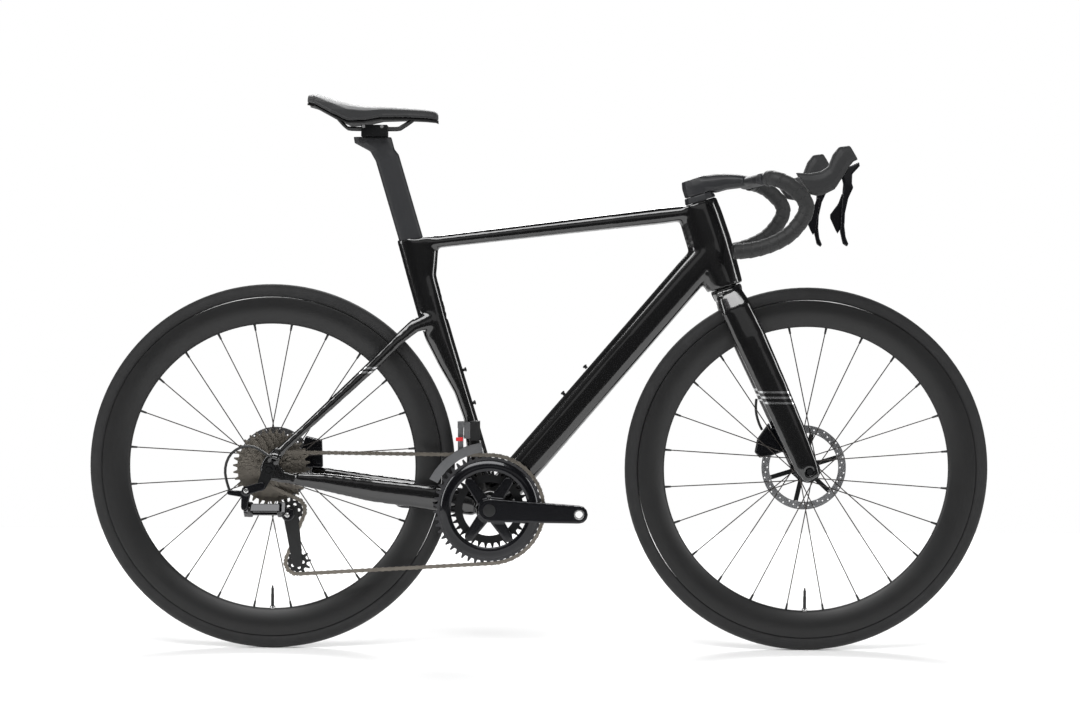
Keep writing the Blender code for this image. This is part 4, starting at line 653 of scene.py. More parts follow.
class Bench:
    """Holds the frame and hands pieces over to it."""

    def __init__(self, frame: dict[str, Any]) -> None:
        """Reads which body and which slot each node has."""
        self.nodes: dict[str, bpy.types.Object] = frame["nodes"]
        record = frame["record"]
        self.body: dict[str, str] = {n: b for b, ns in record["behaviour"]["bodies"].items() for n in ns}
        self.slot: dict[str, str] = {row["node"]: row["material_slot"] for row in record["subparts"]}
        self.paint = Paintbox()

    def coat(self, piece: bpy.types.Object, finish: Finish, stripes: Stripes | None = None) -> None:
        """Gives a piece its one material."""
        material = self.paint.material(finish, stripes)
        if not piece.material_slots:
            piece.data.materials.append(material)
        for slot in piece.material_slots:
            slot.material = material

    def dress(self, node: str, finish: Finish) -> None:
        """Gives a solid that stays its material."""
        self.coat(self.nodes[node], finish)
        LOG.info("dressed %s with %s", node, finish.name)

    def replace(
        self, piece: bpy.types.Object, node: str, finish: Finish, stripes: Stripes | None = None
    ) -> bpy.types.Object:
        """Puts a piece in a solid's place.

        Args:
            piece: The modelled piece.
            node: The solid that it stands for.
            finish: Its surface.
            stripes: Painted bands, or None.

        Returns:
            The same piece.
        """
        self.coat(piece, finish, stripes)
        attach(piece, self.body[node])
        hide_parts(node)
        LOG.info("built %s for %s", piece.name, node)
        return piece

    def add(self, piece: bpy.types.Object, carrier: str, finish: Finish) -> bpy.types.Object:
        """Puts an extra piece on the body of a solid.

        Args:
            piece: The modelled piece.
            carrier: The solid that carries it.
            finish: Its surface.

        Returns:
            The same piece.
        """
        self.coat(piece, finish)
        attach(piece, self.body[carrier])
        LOG.info("built %s on %s", piece.name, carrier)
        return piece

    def soften(self, node: str, voxel: float, rounds: int, name: str = "") -> bpy.types.Object:
        """Copies a solid and rounds its edges and facets.

        Args:
            node: The solid.
            voxel: Size of the new mesh's faces.
            rounds: Passes of smoothing.
            name: Name of the copy, or empty for the node's with a suffix.

        Returns:
            The rounded copy.
        """
        source = self.nodes[node]
        twin = source.copy()
        twin.data = source.data.copy()
        for key in list(twin.keys()):
            del twin[key]
        twin.parent = None
        twin.name = name or node + "_formed"
        bpy.context.scene.collection.objects.link(twin)
        twin.data.materials.clear()
        close_up(twin, weld=1e-5)
        remesh = twin.modifiers.new("remesh", "REMESH")
        remesh.mode = "VOXEL"
        remesh.voxel_size = voxel
        relax = twin.modifiers.new("relax", "SMOOTH")
        relax.factor = 0.5
        relax.iterations = rounds
        apply_all(twin)
        bpy.ops.object.shade_smooth_by_angle(angle=math.radians(60))
        return twin


@dataclass
class Wheel:
    """One wheel: tyre, rim, valve, spokes, nipples, hub and rotor."""

    end: str
    axle: Vector
    flanges: tuple[float, float]
    shell_ends: tuple[float, float]
    rotor_radius: float
    rotor_y: float
    outer_radius: float = 0.341
    tyre_half: float = 0.0143
    rim_radius: float = 0.3165
    rim_inner: float = 0.2665
    spokes: int = 24
    flange_radius: float = 0.021
    crossing: float = math.radians(60)
    steps: int = 144
    rim_line: tuple[tuple[float, float], ...] = (
        (0.3165, 0.01355),
        (0.3158, 0.01375),
        (0.3125, 0.01385),
        (0.3080, 0.01400),
        (0.3020, 0.01405),
        (0.2950, 0.01350),
        (0.2880, 0.01200),
        (0.2820, 0.01010),
        (0.2765, 0.00790),
        (0.2720, 0.00580),
        (0.2688, 0.00400),
        (0.2670, 0.00200),
    )

    def build(self, bench: Bench) -> None:
        """Builds and dresses the wheel."""
        self.build_tyre(bench)
        self.build_rim(bench)
        self.build_valve(bench)
        self.build_spokes(bench)
        self.build_hub(bench)
        self.build_rotor(bench)

    def build_tyre(self, bench: Bench) -> None:
        """Spins the casing, with a raised bead line above the rim."""
        core = self.outer_radius - self.tyre_half
        outer, inner = [], []
        for step in range(29):
            turn = math.radians(-131 + 262 * step / 28)
            ridge = 0.25 * MM if step in (3, 25) else 0.0
            reach = self.tyre_half + ridge
            outer.append((core + reach * math.cos(turn), reach * math.sin(turn)))
            inner.append((core + (reach - 2.4 * MM) * math.cos(turn), (reach - 2.4 * MM) * math.sin(turn)))
        tyre = revolve(f"{self.end}_tyre_casing", outer + inner[::-1], self.axle, self.steps)
        bench.replace(tyre, f"{self.end}_tyre", TYRE_RUBBER)

    def build_rim(self, bench: Bench) -> None:
        """Spins the deep section and its thin bright line at the tyre's edge."""
        shape = list(self.rim_line)
        profile = [(r, -y) for r, y in shape] + shape[::-1]
        rim = revolve(f"{self.end}_rim_section", profile, self.axle, self.steps)
        hole = sweep(
            "valve_room",
            [self.axle + Vector((0, 0, -0.26)), self.axle + Vector((0, 0, -0.33))],
            lambda _s, _t: 3.6 * MM,
            20,
        )
        carve(rim, hole)
        close_up(rim)
        bench.replace(rim, f"{self.end}_rim", SATIN_CARBON)

    def build_valve(self, bench: Bench) -> None:
        """Spins the valve stem and its nut at the bottom of the wheel."""
        down = Vector((0, 0, -1))
        stem = [(0, 0.2240), (1.2 * MM, 0.2243), (1.8 * MM, 0.2290), (2.6 * MM, 0.2300), (2.6 * MM, 0.2400)]
        stem += [(3.0 * MM, 0.2405), (3.0 * MM, 0.3140), (0, 0.3140)]
        bench.add(revolve(f"{self.end}_valve", stem, self.axle, 24, down), f"{self.end}_rim", BLACK_NYLON)
        nut = [(3.1 * MM, 0.2628), (5.0 * MM, 0.2630), (5.4 * MM, 0.2640), (5.4 * MM, 0.2675), (3.1 * MM, 0.2675)]
        bench.add(revolve(f"{self.end}_valve_nut", nut, self.axle, 24, down), f"{self.end}_rim", BRIGHT_STEEL)

    def build_spokes(self, bench: Bench) -> None:
        """Models one spoke and one nipple and laces them round the wheel."""
        places, nipple_places, length = [], [], 0.0
        rim_radius = self.rim_inner + 1.0 * MM
        for k in range(self.spokes):
            rim_turn = math.radians(360 / self.spokes * (k + 0.5))
            trail = -1 if (k // 2) % 2 else 1
            hub_turn = rim_turn + trail * self.crossing
            foot = self.flange_radius - 1.6 * MM
            y = self.flanges[k % 2] + trail * 2.2 * MM
            start = self.axle + Vector((foot * math.cos(hub_turn), y, foot * math.sin(hub_turn)))
            end = self.axle + Vector((rim_radius * math.cos(rim_turn), 0, rim_radius * math.sin(rim_turn)))
            run = end - start
            length = run.length
            places.append(oriented(start, run, ACROSS))
            nipple_places.append(oriented(end, -run, ACROSS))
        spoke = sweep(
            "spoke", [Vector((0, 0, 0)), Vector((length, 0, 0))], lambda _s, t: MM * (0.8 + 0.45 * math.cos(t) ** 2), 8
        )
        bench.add(repeat(f"{self.end}_spokes", spoke, places), f"{self.end}_hub", SPOKE_STEEL)
        shape = [(0, 0), (2.6 * MM, 0), (2.2 * MM, 3 * MM), (1.9 * MM, 11 * MM), (1.5 * MM, 12 * MM), (0, 12 * MM)]
        nipple = revolve("nipple", shape, Vector((0, 0, 0)), 10, Vector((1, 0, 0)))
        bench.add(repeat(f"{self.end}_nipples", nipple, nipple_places), f"{self.end}_rim", BLACK_NYLON)

    def build_hub(self, bench: Bench) -> None:
        """Spins the hub shell with its two flanges and end caps."""
        right, left = self.flanges
        low, high = self.shell_ends
        rim, waist, bore = self.flange_radius + 1.6 * MM, 12.0 * MM, 6.3 * MM
        profile = [(bore, low), (9.0 * MM, low), (10 * MM, low + MM), (10.5 * MM, right - 6 * MM)]
        profile += [(16 * MM, right - 3.2 * MM), (rim - MM, right - 2.6 * MM), (rim, right - 2 * MM)]
        profile += [(rim, right + 2 * MM), (rim - MM, right + 2.6 * MM), (15 * MM, right + 4 * MM)]
        profile += [(waist, right + 9 * MM), (waist, left - 9 * MM), (15 * MM, left - 4 * MM)]
        profile += [(rim - MM, left - 2.6 * MM), (rim, left - 2 * MM), (rim, left + 2 * MM)]
        profile += [(rim - MM, left + 2.6 * MM), (17 * MM, left + 3.2 * MM), (17 * MM, self.rotor_y + 2.5 * MM)]
        profile += [(10 * MM, self.rotor_y + 3 * MM), (9.5 * MM, high - MM), (9 * MM, high), (bore, high)]
        hub = revolve(f"{self.end}_hub_shell", profile, self.axle, 64)
        bench.replace(hub, f"{self.end}_hub", turned(ANODISED, self.axle))

    def build_rotor(self, bench: Bench) -> None:
        """Builds the slotted track, the black carrier and its bright rivets."""
        outer, thick = self.rotor_radius, 1.8 * MM
        inner = outer - 14.5 * MM
        low, high = self.rotor_y - thick / 2, self.rotor_y + thick / 2
        profile = [(inner, low), (outer, low), (outer, high), (inner, high)]
        track = revolve(f"{self.end}_rotor_track", profile, self.axle, 96)
        slots = []
        for k in range(48):
            turn = FULL_TURN * k / 48
            radius = (inner + 3.5 * MM, inner + 7.2 * MM, inner + 10.9 * MM)[k % 3]
            x = self.axle.x + radius * math.cos(turn)
            slots.append((x, self.axle.z + radius * math.sin(turn), 1.5 * MM))
        carve(track, rod_across("slot_tool", slots, low - 0.01, high + 0.01, 12))
        close_up(track)
        bench.replace(track, f"{self.end}_rotor", turned(GROUND_STEEL, self.axle))
        carrier = toothed_disc(
            f"{self.end}_rotor_carrier",
            self.axle,
            self.rotor_y,
            1.6 * MM,
            6,
            (26 * MM, inner + 2 * MM),
            0.3,
            (0.16, 0.06),
            17.3 * MM,
        )
        bench.add(close_up(carrier), f"{self.end}_rotor", ANODISED)
        rivets = []
        for k in range(6):
            turn = 0.3 + FULL_TURN * k / 6
            radius = inner + 0.4 * MM
            rivets.append((self.axle.x + radius * math.cos(turn), self.axle.z + radius * math.sin(turn), 2.6 * MM))
        heads = rod_across(f"{self.end}_rotor_rivets", rivets, low - 0.5 * MM, high + 0.5 * MM, 16)
        bench.add(close_up(heads), f"{self.end}_rotor", BRIGHT_STEEL)


@dataclass
class Chain:
    """The chain's line over its four wheels, and its links."""

    pitch: float = 12.7 * MM
    links: int = 110
    y: float = -48.5 * MM
    sprocket: int = 15
    ring: int = 50
    pulley: int = 11
    guide: Vector = field(default_factory=lambda: Vector((-0.4578, -0.0485, 0.2639)))
    pulley_spacing: float = 97.5 * MM

    def pitch_radius(self, teeth: int) -> float:
        """Returns the pitch radius of a wheel with so many teeth."""
        return teeth * self.pitch / FULL_TURN

    def tension_centre(self, angle: float) -> Vector:
        """Returns the lower pulley's centre for a cage angle."""
        return self.guide + self.pulley_spacing * Vector((math.sin(angle), 0, -math.cos(angle)))

    def runs(self, angle: float) -> list[tuple[Any, ...]]:
        """Returns the straight runs and arcs in the order that the chain travels.

        Args:
            angle: The cage's angle from straight down.

        Returns:
            Tuples that start with the kind and the length.
        """
        wheels = (
            (REAR_AXLE, self.pitch_radius(self.sprocket), 1),
            (CRANK_AXIS, self.pitch_radius(self.ring), 1),
            (self.tension_centre(angle), self.pitch_radius(self.pulley), 1),
            (self.guide, self.pitch_radius(self.pulley), -1),
        )
        headings = []
        for (start, r_start, s_start), (end, r_end, s_end) in zip(wheels, wheels[1:] + wheels[:1]):
            span = end - start
            lean = math.asin((r_start * s_start - r_end * s_end) / math.hypot(span.x, span.z))
            headings.append(math.atan2(span.z, span.x) - lean)
        runs: list[tuple[Any, ...]] = []
        for i, (centre, radius, spin) in enumerate(wheels):
            arrive, leave = headings[i - 1], headings[i]
            sweep_turn = (spin * (arrive - leave)) % FULL_TURN
            runs.append(("arc", radius * sweep_turn, centre, radius, spin, arrive + spin * math.pi / 2))
            following, r_next, s_next = wheels[(i + 1) % len(wheels)]
            normal = Vector((-math.sin(leave), 0, math.cos(leave)))
            start = centre + radius * spin * normal
            way = Vector((math.cos(leave), 0, math.sin(leave)))
            runs.append(("line", ((following + r_next * s_next * normal) - start).dot(way), start, leave))
        return runs

    def settled(self) -> tuple[float, list[tuple[Any, ...]]]:
        """Returns the cage angle at which the line is a whole number of links long, and its runs."""
        low, high = -0.6, 0.6
        for _ in range(50):
            middle = (low + high) / 2
            if sum(run[1] for run in self.runs(middle)) > self.links * self.pitch:
                low = middle
            else:
                high = middle
        return low, self.runs(low)

    def spot(self, runs: list[tuple[Any, ...]], distance: float) -> Vector:
        """Returns the point at a distance along the chain."""
        distance %= sum(run[1] for run in runs)
        for run in runs:
            if distance <= run[1]:
                break
            distance -= run[1]
        if run[0] == "line":
            place = run[2] + distance * Vector((math.cos(run[3]), 0, math.sin(run[3])))
        else:
            turn = run[5] - run[4] * distance / run[3]
            place = run[2] + run[3] * Vector((math.cos(turn), 0, math.sin(turn)))
        return Vector((place.x, self.y, place.z))

    def phase(self, runs: list[tuple[Any, ...]], wheel: int) -> float:
        """Returns the angle of a tooth that stands midway between two pins of a wheel."""
        run = runs[2 * wheel]
        before = sum(r[1] for r in runs[: 2 * wheel])
        return run[5] - run[4] * (self.pitch / 2 - before) / run[3]

    def plate_pair(self, name: str, half_gap: float, thick: float) -> bpy.types.Object:
        """Models the two waisted plates of one link, from its first pin at the origin along +X."""
        plates = []
        for side in (-1, 1):
            bpy.ops.object.select_all(action="DESELECT")
            bpy.ops.mesh.primitive_circle_add(vertices=20, radius=1.0, fill_type="NGON", location=(0, 0, 0))
            plate = new_piece(name)
            for i, vert in enumerate(plate.data.vertices):
                turn = FULL_TURN * (i + 0.5) / 20
                end = self.pitch if math.cos(turn) > 0 else 0.0
                waist = 0.72 if abs(math.cos(turn)) < 0.2 else 1.0
                x = end + 4.2 * MM * math.cos(turn)
                if waist < 1:
                    x = self.pitch / 2 + (1.6 * MM if end else -1.6 * MM)
                vert.co = Vector((x, side * (half_gap + thick / 2), 4.2 * MM * waist * math.sin(turn)))
            solid = plate.modifiers.new("thickness", "SOLIDIFY")
            solid.thickness = thick
            solid.offset = 0.0
            plates.append(close_up(apply_all(plate), weld=1e-7))
        return join(name, plates)

    def build(self, bench: Bench) -> tuple[float, list[tuple[Any, ...]]]:
        """Builds the links and returns the cage's angle and the chain's runs."""
        angle, runs = self.settled()
        places = []
        for link in range(self.links):
            here, there = self.spot(runs, link * self.pitch), self.spot(runs, (link + 1) * self.pitch)
            places.append(oriented(here, there - here, Vector((0, 0, 1)) if abs((there - here).x) > 1e-4 else ACROSS))
        for i, place in enumerate(places):
            here, there = self.spot(runs, i * self.pitch), self.spot(runs, (i + 1) * self.pitch)
            way = (there - here).normalized()
            turn = Matrix((way, ACROSS, way.cross(ACROSS))).transposed().to_4x4()
            places[i] = Matrix.Translation(here) @ turn
        outer = repeat("chain_outer_plates", self.plate_pair("outer_link", 1.75 * MM, 0.8 * MM), places[0::2])
        inner = repeat("chain_inner_plates", self.plate_pair("inner_link", 0.95 * MM, 0.8 * MM), places[1::2])
        pins = [(self.spot(runs, i * self.pitch).x, self.spot(runs, i * self.pitch).z, 1.7 * MM) for i in range(self.links)]
        rollers = [(x, z, 3.4 * MM) for x, z, _ in pins]
        pin_piece = rod_across("chain_pins", pins, self.y - 2.9 * MM, self.y + 2.9 * MM, 10)
        roller_piece = rod_across("chain_rollers", rollers, self.y - 0.95 * MM, self.y + 0.95 * MM, 12)
        chain = join("chain_links", [outer, inner, pin_piece, roller_piece])
        bpy.ops.object.shade_smooth_by_angle(angle=math.radians(35))
        bench.replace(chain, "chain", PLATED_STEEL)
        return angle, runs


@dataclass
class Drivetrain:
    """Cassette, cranks, rings, derailleurs and the chain."""

    sprockets: tuple[int, ...] = (11, 12, 13, 14, 15, 17, 19, 21, 24, 27, 30, 34)
    sprocket_pitch: float = 3.5 * MM
    tooth_tip: float = 3.4 * MM
    tooth_root: float = 4.6 * MM
    crank_length: float = 166.5 * MM
    crank_drop: float = math.radians(2.5)
    chain: Chain = field(default_factory=Chain)

    def radii(self, teeth: int) -> tuple[float, float]:
        """Returns the root and tip radius of a toothed wheel."""
        middle = self.chain.pitch_radius(teeth)
        return middle - self.tooth_root, middle + self.tooth_tip

    def build(self, bench: Bench) -> None:
        """Builds and dresses the drivetrain."""
        angle, runs = self.chain.build(bench)
        self.build_cassette(bench, runs)
        self.build_rings(bench, runs)
        self.build_cranks(bench)
        self.build_pulleys(bench, angle, runs)
        self.build_derailleurs(bench)

    def build_cassette(self, bench: Bench, runs: list[tuple[Any, ...]]) -> None:
        """Stacks twelve pierced sprockets on their core."""
        stack = []
        for i, teeth in enumerate(self.sprockets):
            y = self.chain.y + (i - 4) * self.sprocket_pitch
            phase = self.chain.phase(runs, 0) if i == 4 else 0.13 * i
            disc = toothed_disc(f"sprocket_{teeth}", REAR_AXLE, y, 1.6 * MM, teeth, self.radii(teeth), phase)
            if teeth >= 19:
                holes = []
                radius = (self.radii(teeth)[0] + 20 * MM) / 2 + 1.5 * MM
                half = min((self.radii(teeth)[0] - 20 * MM) / 2 - 2.5 * MM, 6.5 * MM)
                for k in range(9):
                    turn = FULL_TURN * k / 9 + 0.2 * i
                    holes.append((REAR_AXLE.x + radius * math.cos(turn), REAR_AXLE.z + radius * math.sin(turn), half))
                if half > MM:
                    carve(disc, rod_across("hole_tool", holes, y - 0.01, y + 0.01, 14))
            stack.append(disc)
        ends = (self.chain.y - 4 * self.sprocket_pitch - 1.7 * MM, self.chain.y + 7 * self.sprocket_pitch + 2.6 * MM)
        core = revolve(
            "cassette_core",
            [(17.8 * MM, ends[0]), (19.6 * MM, ends[0]), (19.6 * MM, ends[1]), (17.8 * MM, ends[1])],
            REAR_AXLE,
            48,
        )
        cassette = join("cassette_stack", [*stack, core])
        bpy.ops.object.shade_smooth_by_angle(angle=math.radians(35))
        bench.replace(cassette, "cassette", PLATED_STEEL)
        cap = [(11 * MM, ends[0] - 1.6 * MM), (16.5 * MM, ends[0] - 1.6 * MM), (17.6 * MM, ends[0]), (11 * MM, ends[0])]
        bench.add(revolve("cassette_lockring", cap, REAR_AXLE, 48), "cassette", ANODISED)
        bench.dress("freehub", ANODISED)

    def build_rings(self, bench: Bench, runs: list[tuple[Any, ...]]) -> None:
        """Builds both chainrings and the dished face of the large one."""
        outer = toothed_disc(
            "outer_ring_teeth",
            CRANK_AXIS,
            self.chain.y,
            2.0 * MM,
            50,
            self.radii(50),
            self.chain.phase(runs, 1),
            (0.30, 0.10),
            71.5 * MM,
        )
        bench.replace(close_up(outer), "outer_chainring", turned(RING_ALLOY, CRANK_AXIS))
        face = [(71.8 * MM, -48.0 * MM), (71.8 * MM, -56.0 * MM), (73.5 * MM, -57.0 * MM), (80 * MM, -56.6 * MM)]
        face += [(88 * MM, -54.8 * MM), (91.5 * MM, -52.0 * MM), (92.0 * MM, -49.6 * MM), (91.0 * MM, -48.0 * MM)]
        bench.add(revolve("outer_ring_face", face, CRANK_AXIS, 128), "outer_chainring", DARK_ALLOY)
        inner = toothed_disc(
            "inner_ring_teeth", CRANK_AXIS, -41.2 * MM, 1.8 * MM, 34, self.radii(34), 0.0, (0.30, 0.10), 50 * MM
        )
        bench.replace(close_up(inner), "inner_chainring", turned(ANODISED, CRANK_AXIS))

    def build_cranks(self, bench: Bench) -> None:
        """Rounds the arms and adds the axle cap and pedal bushes."""
        bench.replace(bench.soften("crank_right", 1.3 * MM, 7), "crank_right", DARK_ALLOY)
        bench.replace(bench.soften("crank_left", 1.5 * MM, 6), "crank_left", DARK_ALLOY)
        bench.dress("bottom_bracket", ANODISED)
        cap = [(0, -73.8 * MM), (9 * MM, -73.8 * MM), (11.5 * MM, -73.4 * MM), (12 * MM, -72 * MM), (0, -72 * MM)]
        bench.add(revolve("crank_cap", cap, CRANK_AXIS, 48), "crank_right", BLACK_NYLON)
        for side, word in ((1, "right"), (-1, "left")):
            way = Vector((math.cos(self.crank_drop), 0, -math.sin(self.crank_drop)))
            end = CRANK_AXIS + side * self.crank_length * way
            face = -side * 73.0 * MM
            back = -side * 59.2 * MM
            ring = [(7.2 * MM, face), (9.4 * MM, face), (9.4 * MM, back), (7.2 * MM, back)]
            ring = [(r, y - (side * 0.25 * MM if y == face else 0)) for r, y in ring]
            bench.add(revolve(f"pedal_bush_{word}", ring, end, 32), f"crank_{word}", BRIGHT_STEEL)

    def build_pulleys(self, bench: Bench, angle: float, runs: list[tuple[Any, ...]]) -> None:
        """Builds the two pierced jockey wheels."""
        for name, centre, wheel in (
            ("guide_pulley", self.chain.guide, 3),
            ("tension_pulley", self.chain.tension_centre(angle), 2),
        ):
            disc = toothed_disc(
                name + "_wheel",
                centre,
                self.chain.y,
                2.0 * MM,
                11,
                self.radii(11),
                self.chain.phase(runs, wheel),
                (0.30, 0.10),
                3.4 * MM,
            )
            spots = []
            for k in range(5):
                turn = FULL_TURN * k / 5
                spots.append((centre.x + 10.5 * MM * math.cos(turn), centre.z + 10.5 * MM * math.sin(turn), 3 * MM))
            carve(disc, rod_across("pulley_tool", spots, self.chain.y - 0.01, self.chain.y + 0.01, 14))
            bench.replace(close_up(disc), name, BLACK_NYLON)

    def build_derailleurs(self, bench: Bench) -> None:
        """Rounds the derailleur bodies and adds their bright bolts and the red clip."""
        for node in ("rd_bracket", "rd_p_knuckle", "rd_outer_link", "rd_inner_link"):
            bench.replace(bench.soften(node, 0.8 * MM, 5), node, DARK_ALLOY)
        for node in ("rd_cage", "fd_bracket"):
            bench.dress(node, BLACK_NYLON)
        bench.dress("fd_link", GROUND_STEEL)
        bench.dress("fd_cage", GROUND_STEEL)
        bench.dress("derailleur_hanger", ANODISED)
        low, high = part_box("rd_p_knuckle")
        bolts = [
            ("rd_cage_bolt", -0.4653, 0.2580, low.y, "rd_p_knuckle", 4.2 * MM),
            ("rd_hanger_bolt", -0.5411, 0.3029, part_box("rd_bracket")[0].y, "rd_bracket", 4.6 * MM),
        ]
        for name, x, z, y, carrier, radius in bolts:
            head = [(0, y - 1.6 * MM), (radius * 0.6, y - 1.6 * MM), (radius, y - 0.8 * MM), (radius, y + MM), (0, y + MM)]
            bolt = revolve(name, head, Vector((x, 0, z)), 24)
            socket = rod_across("socket_tool", [(x, z, 2.2 * MM)], y - 4 * MM, y - 0.4 * MM, 6)
            carve(bolt, socket)
            bench.add(close_up(bolt), carrier, BRIGHT_STEEL)
        low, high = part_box("fd_cage")
        bpy.ops.object.select_all(action="DESELECT")
        bpy.ops.mesh.primitive_cube_add(size=1.0, location=(0, 0, 0))
        clip = new_piece("fd_clip")
        middle = Vector(((low.x + high.x) / 2 + 6 * MM, low.y - 1.2 * MM, low.z + 0.72 * (high.z - low.z)))
        clip.data.transform(Matrix.Translation(middle) @ Matrix.Diagonal((13 * MM, 3.2 * MM, 7 * MM, 1)))
        bevel = clip.modifiers.new("edge", "BEVEL")
        bevel.width = 1.0 * MM
        bevel.segments = 3
        bench.add(close_up(apply_all(clip)), "fd_cage", RED_NYLON)


@dataclass
class FrameAndFork:
    """Frame, fork, brakes and what is bolted to them."""

    seatstay_bands: Stripes = Stripes(((0.526, 0.530), (0.518, 0.522)), (-0.36, -0.27))
    blade_bands: Stripes = Stripes(((0.486, 0.490), (0.476, 0.480), (0.466, 0.470)), (0.38, 0.50))
    bottle_bolts: tuple[tuple[float, float, float, float], ...] = (
        (-0.1414, 0.5244, 0.958, 0.286),
        (-0.1237, 0.4626, 0.958, 0.286),
        (0.0838, 0.5310, -0.70, 0.714),
        (0.0427, 0.4811, -0.70, 0.714),
    )

    def build(self, bench: Bench) -> None:
        """Builds and dresses the frame, the fork and the brakes."""
        bench.replace(bench.soften("frame", 3.0 * MM, 7), "frame", LACQUER, self.seatstay_bands)
        bench.replace(bench.soften("fork", 2.4 * MM, 7), "fork", LACQUER, self.blade_bands)
        for x, z, way_x, way_z in self.bottle_bolts:
            way = Vector((way_x, 0, way_z)).normalized()
            foot = Vector((x, 0, z)) - 4 * MM * way
            head = [(0, 0), (3 * MM, 0), (3 * MM, 4.2 * MM), (4.5 * MM, 4.2 * MM), (4.2 * MM, 6.4 * MM)]
            head += [(2.2 * MM, 7.2 * MM), (0, 7.2 * MM)]
            name = f"bottle_bolt_{round(abs(x) * 1000)}"
            bench.add(revolve(name, head, foot, 20, way), "frame", ANODISED)
        for node in ("headset_bearing_lower", "headset_bearing_upper", "rear_axle", "front_axle"):
            bench.dress(node, ANODISED)
        bench.dress("seatpost_wedge", ANODISED)
        for node in ("front_brake_hose", "shift_housing"):
            bench.dress(node, BLACK_NYLON)
        for end in ("front", "rear"):
            caliper = bench.soften(f"{end}_caliper", 1.2 * MM, 3)
            bench.replace(caliper, f"{end}_caliper", DARK_ALLOY)
            for place in ("inner", "outer"):
                bench.dress(f"{end}_pad_{place}", PAD_STEEL)


@dataclass
class Saddle:
    """Seatpost, clamp and saddle."""

    def build(self, bench: Bench) -> None:
        """Builds the crowned cover and dresses the rest."""
        bench.replace(bench.soften("seatpost", 1.6 * MM, 5), "seatpost", MATT_PAINT)
        bench.dress("rail_clamp", ANODISED)
        bench.dress("saddle_shell", SATIN_CARBON)
        bench.dress("saddle_rails", BLACK_NYLON)
        cover = bench.soften("saddle_pad", 2.0 * MM, 10, "saddle_cover")
        bench.replace(cover, "saddle_pad", SADDLE_COVER)
        posts = []
        for x in (-0.331, -0.297):
            posts.append((x, 0.9755, 3.2 * MM))
        bolts = rod_across("rail_bolts", posts, -31.5 * MM, 31.5 * MM, 20)
        bench.add(close_up(bolts), "rail_clamp", BRIGHT_STEEL)


@dataclass
class Cockpit:
    """Stem, bar, tape, hoods and levers."""

    half_width: float = 0.195
    tape_radius: float = 13.6 * MM
    tape_pitch: float = 17 * MM
    bar_line: tuple[tuple[float, float, float], ...] = (
        (0.4040, 0.178, 0.8805),
        (0.4180, 0.191, 0.8785),
        (0.4392, 0.195, 0.8698),
        (0.4573, 0.195, 0.8547),
        (0.4685, 0.195, 0.8420),
        (0.4728, 0.195, 0.8280),
        (0.4685, 0.195, 0.8127),
        (0.4562, 0.195, 0.7939),
        (0.4402, 0.195, 0.7776),
        (0.4205, 0.195, 0.7658),
        (0.3991, 0.195, 0.7571),
        (0.3740, 0.195, 0.7508),
        (0.3453, 0.195, 0.7480),
    )

    def tape_height(self, along: float, turn: float) -> float:
        """Returns the tape's radius: each wrap lies on the edge of the one before."""
        wrap = (along / self.tape_pitch + turn / FULL_TURN) % 1.0
        return self.tape_radius + 0.9 * MM * min(wrap * 1.15, 1.0) - 0.5 * MM * (wrap < 0.06)

    def build(self, bench: Bench) -> None:
        """Builds and dresses the front end above the fork."""
        bench.replace(bench.soften("cockpit", 2.0 * MM, 6), "cockpit", MATT_PAINT)
        bench.replace(bench.soften("headset_cover", 1.4 * MM, 4), "headset_cover", MATT_PAINT)
        for side, word in ((-1, "right"), (1, "left")):
            line = smooth_path([(x, side * y, z) for x, y, z in self.bar_line], 1.6 * MM)
            tape = sweep(f"wrapped_tape_{word}", line, self.tape_height, 36)
            bench.replace(tape, f"bar_tape_{word}", BAR_TAPE)
            bench.dress(f"bar_plug_{word}", BLACK_NYLON)
            hood = bench.soften(f"shifter_body_{word}", 1.2 * MM, 8)
            bench.replace(hood, f"shifter_body_{word}", HOOD_RUBBER)
            lever = bench.soften(f"brake_lever_{word}", 1.0 * MM, 8)
            bench.replace(lever, f"brake_lever_{word}", DARK_ALLOY)
            paddle = bench.soften(f"shift_paddle_{word}", 0.7 * MM, 3)
            bench.replace(paddle, f"shift_paddle_{word}", DARK_ALLOY)
            edge = side * (self.half_width + 16.0 * MM)
            inner = edge - side * 3 * MM
            badge = [(0, edge), (3.0 * MM, edge - side * 0.2 * MM), (3.6 * MM, edge - side * MM), (3.6 * MM, inner)]
            disc = revolve(f"lever_disc_{word}", [*badge, (0, inner)], Vector((0.5150, 0, 0.8830)), 24)
            bench.add(disc, f"shifter_body_{word}", BRIGHT_STEEL)


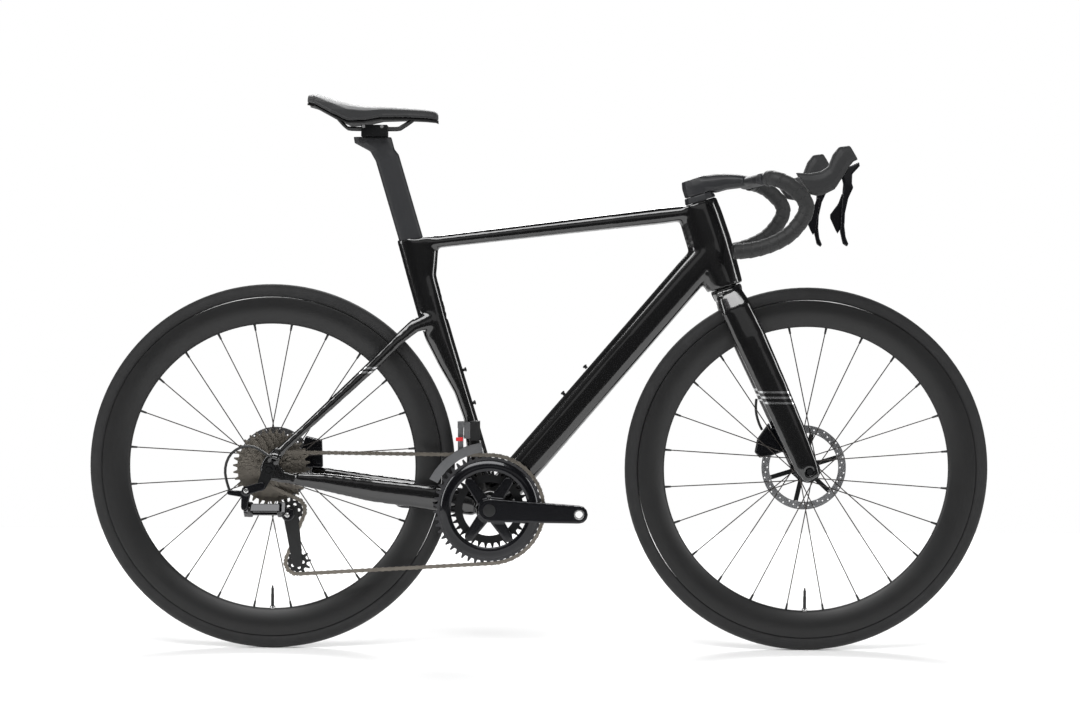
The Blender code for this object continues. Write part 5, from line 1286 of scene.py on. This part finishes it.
@dataclass
class Studio:
    """Camera, lights, world and floor."""

    place: tuple[float, float, float] = (-0.05651, -4.7693, 0.74655)
    lens: float = 85.0
    pan: float = math.radians(0.6672)
    tilt: float = math.radians(-2.4433)
    roll: float = math.radians(0.3801)

    def build(self, bench: Bench) -> None:
        """Sets up the studio."""
        self.build_camera()
        self.build_world()
        self.build_floor(bench)
        self.add_light("key_softbox", (-0.6, -2.4, 3.2), (0, 0, 0.5), (3.2, 1.6), 110)
        self.add_light("front_softbox", (0.4, -5.2, 1.6), (0, 0, 0.5), (4.0, 1.2), 6)
        self.add_light("left_strip", (-3.2, -1.6, 1.3), (0, 0, 0.5), (0.7, 2.4), 38)
        self.add_light("right_strip", (3.2, -1.6, 1.3), (0, 0, 0.5), (0.7, 2.4), 38)
        self.add_light("back_softbox", (0.2, 3.0, 2.8), (0, 0, 0.5), (3.0, 1.2), 130)

    def build_camera(self) -> None:
        """Stands the camera where the photograph was taken from."""
        camera = bpy.data.cameras.new("camera")
        camera.lens = self.lens
        camera.sensor_width = 36.0
        stand = bpy.data.objects.new("camera", camera)
        bpy.context.scene.collection.objects.link(stand)
        flat = math.cos(self.tilt)
        forward = Vector((math.sin(self.pan) * flat, math.cos(self.pan) * flat, math.sin(self.tilt)))
        right = Vector((math.cos(self.pan), -math.sin(self.pan), 0))
        up = right.cross(forward)
        tilted_right = math.cos(self.roll) * right + math.sin(self.roll) * up
        tilted_up = math.cos(self.roll) * up - math.sin(self.roll) * right
        turn = Matrix((tilted_right, tilted_up, -forward)).transposed().to_4x4()
        stand.matrix_world = Matrix.Translation(self.place) @ turn
        bpy.context.scene.camera = stand

    def build_world(self) -> None:
        """Makes the surround: white to look at, dim in the lacquer's reflections."""
        world = bpy.data.worlds.new("surround")
        bpy.context.scene.world = world
        world.use_nodes = True
        tree = world.node_tree
        tree.nodes.clear()
        seen = add_node(tree, "ShaderNodeBackground", {"Color": (1, 1, 1, 1), "Strength": 1.0})
        lit = add_node(tree, "ShaderNodeBackground", {"Color": (1, 1, 1, 1), "Strength": 0.35})
        mirrored = add_node(tree, "ShaderNodeBackground", {"Color": (1, 1, 1, 1), "Strength": 0.08})
        rays = add_node(tree, "ShaderNodeLightPath")
        unseen = add_node(
            tree,
            "ShaderNodeMixShader",
            {},
            {0: rays.outputs["Is Glossy Ray"], 1: lit.outputs[0], 2: mirrored.outputs[0]},
        )
        mix = add_node(
            tree,
            "ShaderNodeMixShader",
            {},
            {0: rays.outputs["Is Camera Ray"], 1: unseen.outputs[0], 2: seen.outputs[0]},
        )
        add_node(tree, "ShaderNodeOutputWorld", {}, {"Surface": mix.outputs[0]})
        bpy.context.scene.view_settings.view_transform = "Standard"

    def build_floor(self, bench: Bench) -> None:
        """Lays the pale floor under the tyres."""
        bpy.ops.object.select_all(action="DESELECT")
        bpy.ops.mesh.primitive_plane_add(size=4.0, location=(0, 0, 0))
        floor = new_piece("floor")
        bench.coat(floor, FLOOR_PAINT)

    def add_light(
        self,
        name: str,
        place: tuple[float, float, float],
        target: tuple[float, float, float],
        size: tuple[float, float],
        power: float,
    ) -> None:
        """Adds one softbox.

        Args:
            name: The light's name.
            place: Where it hangs.
            target: What it points at.
            size: Its width and height.
            power: Its power in watts.
        """
        light = bpy.data.lights.new(name, "AREA")
        light.shape = "RECTANGLE"
        light.size, light.size_y = size
        light.energy = power
        box = bpy.data.objects.new(name, light)
        bpy.context.scene.collection.objects.link(box)
        box.location = place
        box.rotation_euler = (Vector(target) - Vector(place)).to_track_quat("-Z", "Y").to_euler()


def main() -> None:
    """Loads the frame and builds each sub-assembly."""
    logging.basicConfig(level=logging.INFO, format="%(name)s: %(message)s")
    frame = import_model()
    bench = Bench(frame)
    Studio().build(bench)
    FrameAndFork().build(bench)
    Wheel("front", FRONT_AXLE, (-0.034, 0.020), (-0.0497, 0.0497), 0.080, 0.0395).build(bench)
    Wheel("rear", REAR_AXLE, (-0.0175, 0.033), (-0.0205, 0.0707), 0.070, 0.056).build(bench)
    Drivetrain().build(bench)
    Saddle().build(bench)
    Cockpit().build(bench)


if __name__ == "__main__":
    main()
